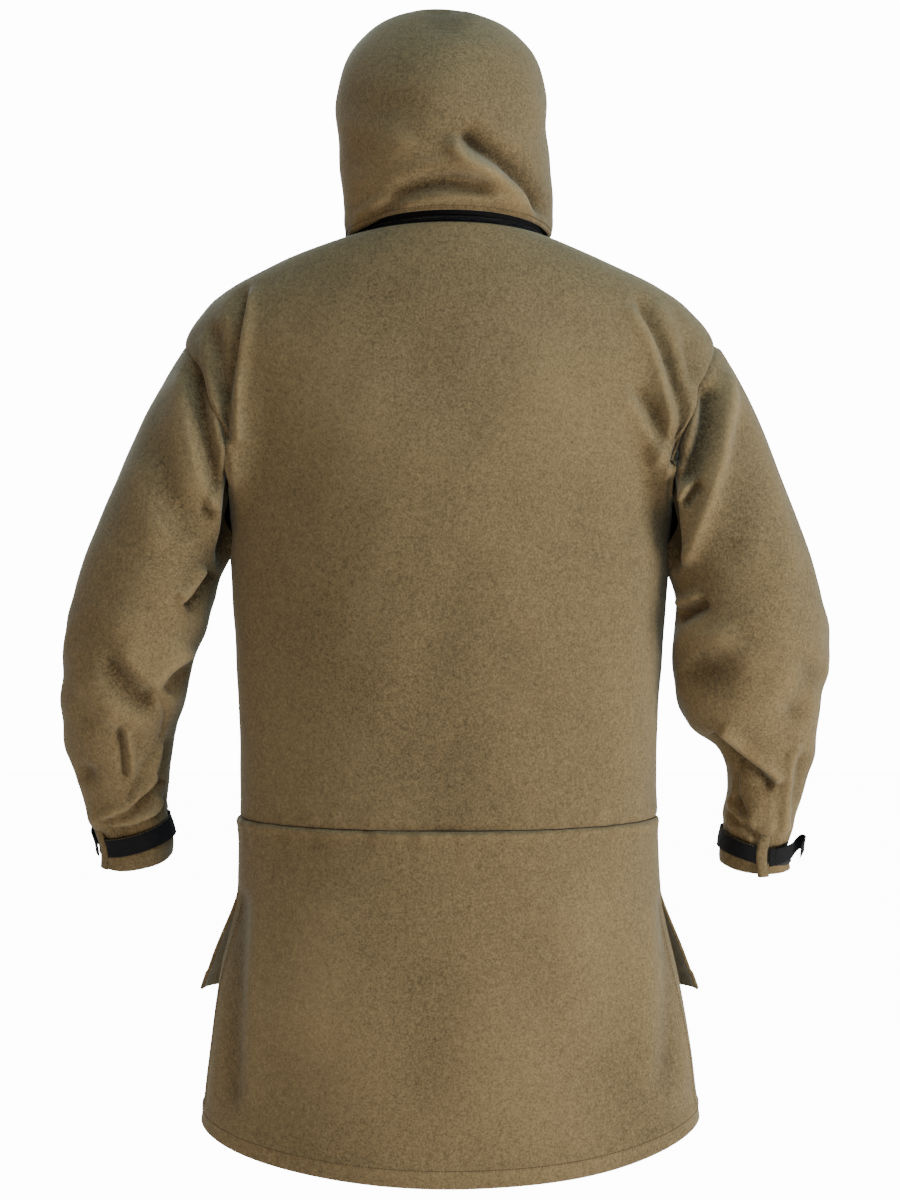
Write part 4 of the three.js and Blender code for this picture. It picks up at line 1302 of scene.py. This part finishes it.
def make_cuffs(sizes):
    for side, cuff in CUFFS.items():
        turn = cuff["turn"]
        body = f"sleeve_{side}"
        name, start, end = f"cuff_webbing_{side}", 105 + turn, 346 + turn
        webbing = FINISH["webbing"]
        band, moved, out = cuff_strip(name, side, start, end, BAND_WIDTH, 2.0, WEBBING, webbing)
        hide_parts(f"cuff_band_{side}")
        name, start, end = f"cuff_hook_tape_{side}", 12 + turn, 82 + turn
        hooks = FINISH["hook_tape"]
        patch, _, _ = cuff_strip(name, side, start, end, BAND_WIDTH - 3, 2.2, 1.2, hooks)
        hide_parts(f"cuff_hook_patch_{side}")
        for obj, finish in ((band, "webbing"), (patch, "hook_tape")):
            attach(obj, body)
        for row in (1, 6):
            add_stitches(body, moved[row, 2:-2], out[row, 2:-2], 0.1)
        make_seam_strip(side, turn, sizes)
        make_tab(side, turn)


def make_seam_strip(side, turn, sizes):
    """Cloth strip sewn down the cuff over the band's end."""
    last = len(SLEEVES[side]) - 1
    top = station_at(side, CUFFS[side]["band"] + 22)
    t = np.linspace(top, last - 0.03, 26)
    u = np.linspace(TAB_ANGLE + turn, 107 + turn, 11)
    grid = sleeve_point(side, t[:, None], u[None, :], 4.1)
    if side == "right":
        grid = grid[:, ::-1]

    def height(points, normals, r, c):
        edge = np.minimum(c, 10 - c)
        return -1.8 * np.exp(-edge / 1.3) - 3.4 * np.exp(-r / 3.0)

    obj, _, _ = cloth(f"cuff_strip_cloth_{side}", grid, sizes.cloth / MM, FINISH["fleece"], height)
    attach(obj, f"sleeve_{side}")
    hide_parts(f"cuff_seam_strip_{side}")


def make_tab(side, turn):
    """Loose end of the cuff's webbing: it closes over the hook tape and stands off in a loop."""
    u = np.linspace(TAB_ANGLE, CUFFS[side]["hug"], 36)
    across = LANES * BAND_WIDTH / 2
    reach = (TAB_ANGLE - u) / (TAB_ANGLE - u[-1])
    t = band_t(side, (u + turn)[None, :], across[:, None]) - 0.36 * reach[None, :]
    grow = 5.4 + CUFFS[side]["stand"] * reach
    lanes = [sleeve_point(side, t[:, k], u[k] + turn, grow[k]) for k in range(len(u))]
    leave = lanes[-1]
    ahead = leave - lanes[-2]
    ahead /= np.linalg.norm(ahead, axis=1, keepdims=True)
    ahead = ahead + (0, 0, 0.42)
    away = np.cross(ahead[3], leave[-1] - leave[0])
    outwards = leave[3] - sleeve_point(side, t[3, -1], 0, -40)
    away *= np.sign(away @ outwards) / np.linalg.norm(away)
    straight, bend, curl = CUFFS[side]["free"], 2.6, 0.02
    stood = curl * straight**2
    path = [(s, curl * s * s) for s in np.linspace(1.5, straight, 10)]
    for turned in np.radians(np.linspace(20, 180, 9)):
        path.append((straight + bend * math.sin(turned), bend * (1 - math.cos(turned)) + stood))
    for s in np.linspace(1.5, min(9.0, straight), 6):
        path.append((straight - s, 2 * bend + stood))
    lanes += [leave + ahead * forward + away * off for forward, off in path]
    grid = np.stack(lanes, axis=1)
    if side == "left":
        grid = grid[:, ::-1]
    name, webbing = f"cuff_tab_webbing_{side}", FINISH["webbing"]
    obj, moved, out = cloth(name, grid, WEBBING, webbing, bevel=0.35)
    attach(obj, f"cuff_tab_{side}")
    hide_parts(f"cuff_tab_{side}")
    add_stitches(f"cuff_tab_{side}", moved[1:-1, 8], out[1:-1, 8], 0.1)


POUCH = {"half": 33, "top": -425, "bottom": -588, "gape": 14}
FLAP = {"half": 32, "top": -400, "bottom": -475}


def torso_t(z):
    t = np.linspace(0, len(TORSO) - 1, 3000)
    return float(np.interp(-z, -stations(TORSO, t)[:, 0], t))


def pouch_off(u, down):
    across = np.clip(np.cos((u - 270) / POUCH["half"] * math.pi / 2), 0, 1) ** 0.7
    return 4.8 + POUCH["gape"] * across * (1 - down**3)


def make_pocket(sizes):
    thick = sizes.cloth / MM
    fleece = FINISH["fleece"]
    top, bottom = torso_t(POUCH["top"]), torso_t(POUCH["bottom"])
    u = angles(270 - POUCH["half"], 270 + POUCH["half"], 90, (0.15, 0.6))
    t = spaced(torso_point, top, bottom, 4.0)
    down = (t - top) / (bottom - top)
    off = pouch_off(u[None, :], down[:, None])
    grid = torso_point(t[:, None], u[None, :], off)

    def height(points, normals, r, c):
        return waves(points, 61, 60) * 1.1

    obj, moved, out = cloth("pouch_cloth", grid, thick, fleece, height)
    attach(obj, "garment")
    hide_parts("pouch_pocket")
    declare(grid)
    for line in ((slice(3, -3), 4), (slice(3, -3), -5), (-5, slice(4, -4))):
        add_stitches("garment", moved[line], out[line])

    high, low = torso_t(FLAP["top"]), torso_t(FLAP["bottom"])
    u = angles(270 - FLAP["half"], 270 + FLAP["half"], 90, (0.15, 0.6))
    t = spaced(torso_point, high, low, 4.0)
    share = (t - high) / (low - high)
    pouch_down = (np.maximum(t, top) - top) / (bottom - top)
    over = pouch_off(u[None, :], pouch_down[:, None]) + 5.2
    rise = smoothstep(share, 0, 0.3)[:, None]
    off = 4.8 + (over - 4.8) * rise
    grid = torso_point(t[:, None], u[None, :], off)

    def flap_height(points, normals, r, c):
        return waves(points, 62, 50) * 0.6

    obj, moved, out = cloth("pocket_flap_cloth", grid, thick, fleece, flap_height)
    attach(obj, "pocket_flap")
    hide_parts("pocket_flap")
    declare(grid)
    for line in ((slice(3, -4), 4), (slice(3, -4), -5), (-5, slice(4, -4))):
        add_stitches("pocket_flap", moved[line], out[line])


def zip_frame(points):
    """Turns points of the front zip's own frame into the garment's frame."""
    slope = -math.atan(FRONT_SLOPE)
    c, s = math.cos(slope), math.sin(slope)
    y, z = points[..., 1], points[..., 2]
    return np.stack([points[..., 0], c * y - s * z - 97.6, s * y + c * z], -1)


def make_zips(sizes):
    tree = repeat_tree()
    tape, coil = FINISH["zip_tape"], FINISH["zip_coil"]
    for name, low, high in (("lower", -18, -5), ("upper", 1.8, 14)):
        grid = neck_band(NECK_RADIUS - 1.2, low, high, ZIP_FROM, ZIP_TO, 160)
        obj, _, _ = cloth(f"hood_zip_cloth_{name}", grid, 1.0, tape, bevel=0.3)
        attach(obj, "garment")
        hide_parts(f"hood_zip_tape_{name}")
    teeth = {
        "Pitch": sizes.tooth_pitch, "Length": sizes.tooth_pitch * 0.62, "Width": 0.0034,
        "Height": 0.0024, "Jitter": 0.0, "Seed": 1,
    }
    for name, level in (("lower", -3.2), ("upper", 0.0)):
        points, outs = neck_line(NECK_RADIUS - 0.4, level, ZIP_FROM, ZIP_TO)
        obj = repeats(f"hood_zip_teeth_{name}", [(points, outs)], tree, teeth, coil)
        core = neck_band(NECK_RADIUS - 0.9, level - 1.1, level + 1.1, ZIP_FROM, ZIP_TO, 160, 2)
        bed, _, _ = cloth(f"hood_zip_cord_{name}", core, 1.0, coil, bevel=0.3)
        for piece in (obj, bed):
            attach(piece, "garment")
        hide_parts(f"hood_zip_coil_{name}")
    for name, side in (("right", -1), ("left", 1)):
        z = np.linspace(22, -286, 200)
        y = np.full_like(z, 0.4)
        line = zip_frame(np.stack([np.full_like(z, side * 1.5), y, z], -1))
        out = np.tile(zip_frame(np.array([0.0, -1, 0])) - zip_frame(np.zeros(3)), (len(z), 1))
        obj = repeats(f"front_zip_teeth_{name}", [(line, out)], tree, teeth, coil)
        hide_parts(f"front_zip_coil_{name}")
        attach(obj, "garment")
        z = np.linspace(26, -296, 90)
        inner, outer = (0.8, 11)
        x, y = np.full_like(z, side * (inner + outer) / 2), np.full_like(z, 2.5)
        middle = zip_frame(np.stack([x, y, z], -1))
        across = np.tile([1.0, 0.0, 0.0], (len(z), 1))
        face = np.tile(out[0], (len(z), 1))
        obj, _, _ = strip(f"front_zip_cloth_{name}", middle, across, face, outer - inner, 1.0, tape)
        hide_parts(f"front_zip_tape_{name}")
        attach(obj, "garment")


STITCH_BLENDS = {
    "tail": ("garment", "tail", (0, 0, -0.690), (0, 0, -0.800)),
    "front_skirt": ("garment", "front_skirt", (0, 0, -0.690), (0, 0, -0.800)),
    "hood": ("garment", "hood", (0, 0, 0.015), (0, 0, 0.110)),
    "sleeve_left": ("garment", "sleeve_left", (0.2877, 0, -0.0690), (0.3334, 0, -0.0799)),
    "sleeve_right": ("garment", "sleeve_right", (-0.2877, 0, -0.0690), (-0.3334, 0, -0.0799)),
}


def make_stitches(sizes):
    tree = bpy.data.node_groups["Repeats along a line"]
    for seed, (group, lines) in enumerate(sorted(STITCHES.items())):
        material = FINISH["dark_thread"] if group.startswith("cuff_tab") else FINISH["thread"]
        obj = repeats(f"stitches_{group}", lines, tree, stitch_values(sizes, seed), material)
        if group in STITCH_BLENDS:
            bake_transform(obj)
        else:
            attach(obj, group)


def make_finishes(colours):
    GROUPS["nap"] = nap_group()
    GROUPS["weave"] = weave_group()
    GROUPS["scuffs"] = scuff_group()
    fleece = tuple(colours.fleece)
    facing = tuple(colours.facing)
    black = tuple(colours.webbing)
    FINISH["fleece"] = fleece_material("fleece", fleece, (0.75, 0.8, 0.7))
    FINISH["facing"] = fleece_material("fleece facing", facing, (0.7, 0.7, 0.6))
    FINISH["webbing"] = woven_material("black webbing", black, 0.0017, 0.0012, 0.9, 0.0004)
    dim = tuple(0.8 * c for c in black)
    FINISH["zip_tape"] = woven_material("zip tape", dim, 0.0009, 0.0007, 0.7, 0.0002)
    plastic, rubbed = (0.012, 0.014, 0.018), (0.03, 0.035, 0.04)
    FINISH["zip_coil"] = scuffed_material("zip coil", plastic, rubbed, 0.35, 0.0)
    zinc, bare = (0.05, 0.05, 0.055), (0.2, 0.2, 0.2)
    FINISH["zip_metal"] = scuffed_material("dark zinc", zinc, bare, 0.3, 0.9)
    FINISH["hook_tape"] = loop_pile_material("hook tape", (0.03, 0.03, 0.033))
    thread = tuple(0.72 * c for c in fleece)
    FINISH["thread"] = woven_material("fleece thread", thread, 0.0006, 0.0004, 0.5, 0.0001)
    FINISH["dark_thread"] = woven_material("black thread", black, 0.0006, 0.0004, 0.5, 0.0001)


def dress_fittings():
    """Gives the frame's own metal parts their finish."""
    for name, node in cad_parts.items():
        if "slider" in name or "puller" in name or "stop" in name:
            node.data.materials.clear()
            node.data.materials.append(FINISH["zip_metal"])


def area_light(name, place, target, size, power, colour):
    light = bpy.data.lights.new(name, "AREA")
    light.shape = "DISK"
    light.size = size
    light.energy = power
    light.color = colour
    obj = bpy.data.objects.new(name, light)
    obj.location = place
    obj.rotation_euler = (Vector(target) - Vector(place)).to_track_quat("-Z", "Y").to_euler()
    bpy.context.scene.collection.objects.link(obj)


def seen_brighter(tree, colour, lit, seen):
    """Emission that lights the object by lit and shows to the eye as seen."""
    path = add_node(tree, "ShaderNodeLightPath").outputs["Is Camera Ray"]
    strength = maths(tree, "MULTIPLY_ADD", path, seen - lit, lit)
    kind = "ShaderNodeBackground" if tree.nodes.get("Background") else "ShaderNodeEmission"
    node = tree.nodes.get("Background") or tree.nodes.new(kind)
    node.inputs["Color"].default_value = (*colour, 1)
    tree.links.new(strength, node.inputs["Strength"])
    return node


def make_stage(light):
    mesh = bpy.data.meshes.new("floor")
    side, level = 9.0, -1.6
    corners = [(x * side, y * side, level) for x, y in ((-1, -1), (1, -1), (1, 1), (-1, 1))]
    mesh.from_pydata(corners, [], [(0, 1, 2, 3)])
    material, tree, shader = new_material("pale floor", (0.9, 0.9, 0.9), {"Roughness": 0.9})
    shader.inputs["Base Color"].default_value = (0.85, 0.85, 0.85, 1)
    glow = seen_brighter(tree, (1.0, 1.0, 1.0), 0.15, light.backdrop * 0.92)
    both = add_node(tree, "ShaderNodeAddShader", {0: shader.outputs[0], 1: glow.outputs[0]})
    tree.links.new(both.outputs[0], tree.nodes["Material Output"].inputs["Surface"])
    new_object("floor", mesh, material)
    world = bpy.data.worlds.new("studio")
    world.use_nodes = True
    seen_brighter(world.node_tree, (1.0, 1.0, 1.0), light.room, light.backdrop)
    bpy.context.scene.world = world
    middle = (0, 0, -0.4)
    area_light("top softbox", (-0.7, 1.1, 2.1), (0, 0, -0.1), 1.6, light.top, (0.62, 0.87, 1.0))
    area_light("key softbox", (-2.8, 1.3, -1.15), (0, 0, -0.6), 1.3, light.key, (1.0, 0.95, 0.86))
    area_light("low fill", (1.3, 2.2, -1.5), middle, 1.8, light.fill, (1.0, 0.80, 0.58))
    area_light("front softbox", (0.8, -2.8, 0.8), middle, 2.4, light.front, (1.0, 1.0, 1.0))
    camera = bpy.data.cameras.new("camera")
    camera.lens = 91.6
    camera.sensor_width = 36
    camera.clip_end = 60
    obj = bpy.data.objects.new("camera", camera)
    obj.location = (0, 3.2, -0.185)
    obj.rotation_euler = (Vector((0, 0, -0.374)) - obj.location).to_track_quat("-Z", "Y").to_euler()
    bpy.context.scene.collection.objects.link(obj)
    bpy.context.scene.camera = obj


# ---------------------------------------------------------------- settings, operators and panel


class SmockSizes(bpy.types.PropertyGroup):
    """Sizes that a maker would change."""

    cloth: FloatProperty(
        name="Cloth thickness", description="Thickness of the fleece", default=0.0036, unit="LENGTH"
    )
    fold_strength: FloatProperty(
        name="Fold strength", description="Depth of the worn folds", default=1.0, min=0.0, max=1.5
    )
    stitch_pitch: FloatProperty(
        name="Stitch pitch", description="Distance between stitches", default=0.0034, unit="LENGTH"
    )
    tooth_pitch: FloatProperty(
        name="Tooth pitch", description="Distance between coil turns", default=0.0021, unit="LENGTH"
    )


class SmockColours(bpy.types.PropertyGroup):
    """Colours of the cloth and the webbing."""

    fleece: FloatVectorProperty(
        name="Fleece", description="Outer fleece", default=(0.128, 0.093, 0.047), subtype="COLOR"
    )
    facing: FloatVectorProperty(
        name="Facing", description="Collar fleece", default=(0.16, 0.12, 0.07), subtype="COLOR"
    )
    webbing: FloatVectorProperty(
        name="Webbing", description="Tapes and bands", default=(0.0036, 0.0038, 0.0052), subtype="COLOR"
    )


class SmockLight(bpy.types.PropertyGroup):
    """Brightness of the studio."""

    room: FloatProperty(name="Room", description="Even light from all round", default=0.22)
    backdrop: FloatProperty(name="Backdrop", description="How bright the room looks", default=14.0)
    top: FloatProperty(name="Top", description="Softbox overhead", default=68.0, unit="POWER")
    key: FloatProperty(name="Key", description="Softbox at the right", default=150.0, unit="POWER")
    fill: FloatProperty(name="Fill", description="Warm low light", default=54.0, unit="POWER")
    front: FloatProperty(name="Front", description="Softbox in front", default=70.0, unit="POWER")


class SMOCK_OT_finishes(bpy.types.Operator):
    """Makes the fleece, webbing, zip and metal finishes"""

    bl_idname = "smock.finishes"
    bl_label = "Finishes"

    def execute(self, context):
        make_finishes(context.scene.smock_colours)
        dress_fittings()
        return {"FINISHED"}


class SMOCK_OT_body(bpy.types.Operator):
    """Makes the back and the front of the smock down to the waist seam"""

    bl_idname = "smock.body"
    bl_label = "Back and front"

    def execute(self, context):
        make_body(context.scene.smock_sizes)
        return {"FINISHED"}


class SMOCK_OT_skirts(bpy.types.Operator):
    """Makes the dropped tail and the shorter front skirt"""

    bl_idname = "smock.skirts"
    bl_label = "Tail and front skirt"

    def execute(self, context):
        make_skirts(context.scene.smock_sizes)
        return {"FINISHED"}


class SMOCK_OT_hood(bpy.types.Operator):
    """Makes the hood and the brim round its face opening"""

    bl_idname = "smock.hood"
    bl_label = "Hood"

    def execute(self, context):
        make_hood(context.scene.smock_sizes)
        return {"FINISHED"}


class SMOCK_OT_collar(bpy.types.Operator):
    """Makes the stand collar inside the neck and its hanging loop"""

    bl_idname = "smock.collar"
    bl_label = "Collar and loop"

    def execute(self, context):
        make_collar(context.scene.smock_sizes)
        return {"FINISHED"}


class SMOCK_OT_sleeves(bpy.types.Operator):
    """Makes both sleeves with their worn folds"""

    bl_idname = "smock.sleeves"
    bl_label = "Sleeves"

    def execute(self, context):
        for side in SLEEVES:
            make_sleeve(side, context.scene.smock_sizes)
        return {"FINISHED"}


class SMOCK_OT_cuffs(bpy.types.Operator):
    """Makes the webbing bands, hook tapes, cloth strips and loose tabs of the cuffs"""

    bl_idname = "smock.cuffs"
    bl_label = "Cuff webbing"

    def execute(self, context):
        make_cuffs(context.scene.smock_sizes)
        return {"FINISHED"}


class SMOCK_OT_pocket(bpy.types.Operator):
    """Makes the pouch pocket and its flap"""

    bl_idname = "smock.pocket"
    bl_label = "Pouch and flap"

    def execute(self, context):
        make_pocket(context.scene.smock_sizes)
        return {"FINISHED"}


class SMOCK_OT_zips(bpy.types.Operator):
    """Makes the tapes and the coil teeth of the front zip and the hood zip"""

    bl_idname = "smock.zips"
    bl_label = "Zips"

    def execute(self, context):
        make_zips(context.scene.smock_sizes)
        return {"FINISHED"}


class SMOCK_OT_stitches(bpy.types.Operator):
    """Sews the stitch lines kept by the other pieces"""

    bl_idname = "smock.stitches"
    bl_label = "Stitches"

    def execute(self, context):
        make_stitches(context.scene.smock_sizes)
        return {"FINISHED"}


class SMOCK_OT_stage(bpy.types.Operator):
    """Sets the floor, the lights and the camera"""

    bl_idname = "smock.stage"
    bl_label = "Stage"

    def execute(self, context):
        make_stage(context.scene.smock_light)
        return {"FINISHED"}


OPERATORS = (
    SMOCK_OT_finishes, SMOCK_OT_body, SMOCK_OT_skirts, SMOCK_OT_hood, SMOCK_OT_collar,
    SMOCK_OT_sleeves, SMOCK_OT_cuffs, SMOCK_OT_pocket, SMOCK_OT_zips, SMOCK_OT_stitches,
    SMOCK_OT_stage,
)


class SMOCK_PT_pieces(bpy.types.Panel):
    """Lists the smock's settings and its pieces"""

    bl_idname = "SMOCK_PT_pieces"
    bl_label = "Hooded Fleece Smock"
    bl_space_type = "VIEW_3D"
    bl_region_type = "UI"
    bl_category = "Smock"

    def draw(self, context):
        scene = context.scene
        for group in (scene.smock_sizes, scene.smock_colours, scene.smock_light):
            for key in group.__annotations__:
                self.layout.prop(group, key)
        for operator in OPERATORS:
            self.layout.operator(operator.bl_idname)


CLASSES = (SmockSizes, SmockColours, SmockLight, *OPERATORS, SMOCK_PT_pieces)


def register():
    for cls in CLASSES:
        bpy.utils.register_class(cls)
    bpy.types.Scene.smock_sizes = PointerProperty(type=SmockSizes)
    bpy.types.Scene.smock_colours = PointerProperty(type=SmockColours)
    bpy.types.Scene.smock_light = PointerProperty(type=SmockLight)


def unregister():
    del bpy.types.Scene.smock_sizes
    del bpy.types.Scene.smock_colours
    del bpy.types.Scene.smock_light
    for cls in reversed(CLASSES):
        bpy.utils.unregister_class(cls)


def main():
    register()
    bpy.ops.smock.finishes()
    bpy.ops.smock.body()
    bpy.ops.smock.skirts()
    bpy.ops.smock.hood()
    bpy.ops.smock.collar()
    bpy.ops.smock.sleeves()
    bpy.ops.smock.cuffs()
    bpy.ops.smock.pocket()
    bpy.ops.smock.zips()
    bpy.ops.smock.stitches()
    bpy.ops.smock.stage()


if __name__ == "__main__":
    main()
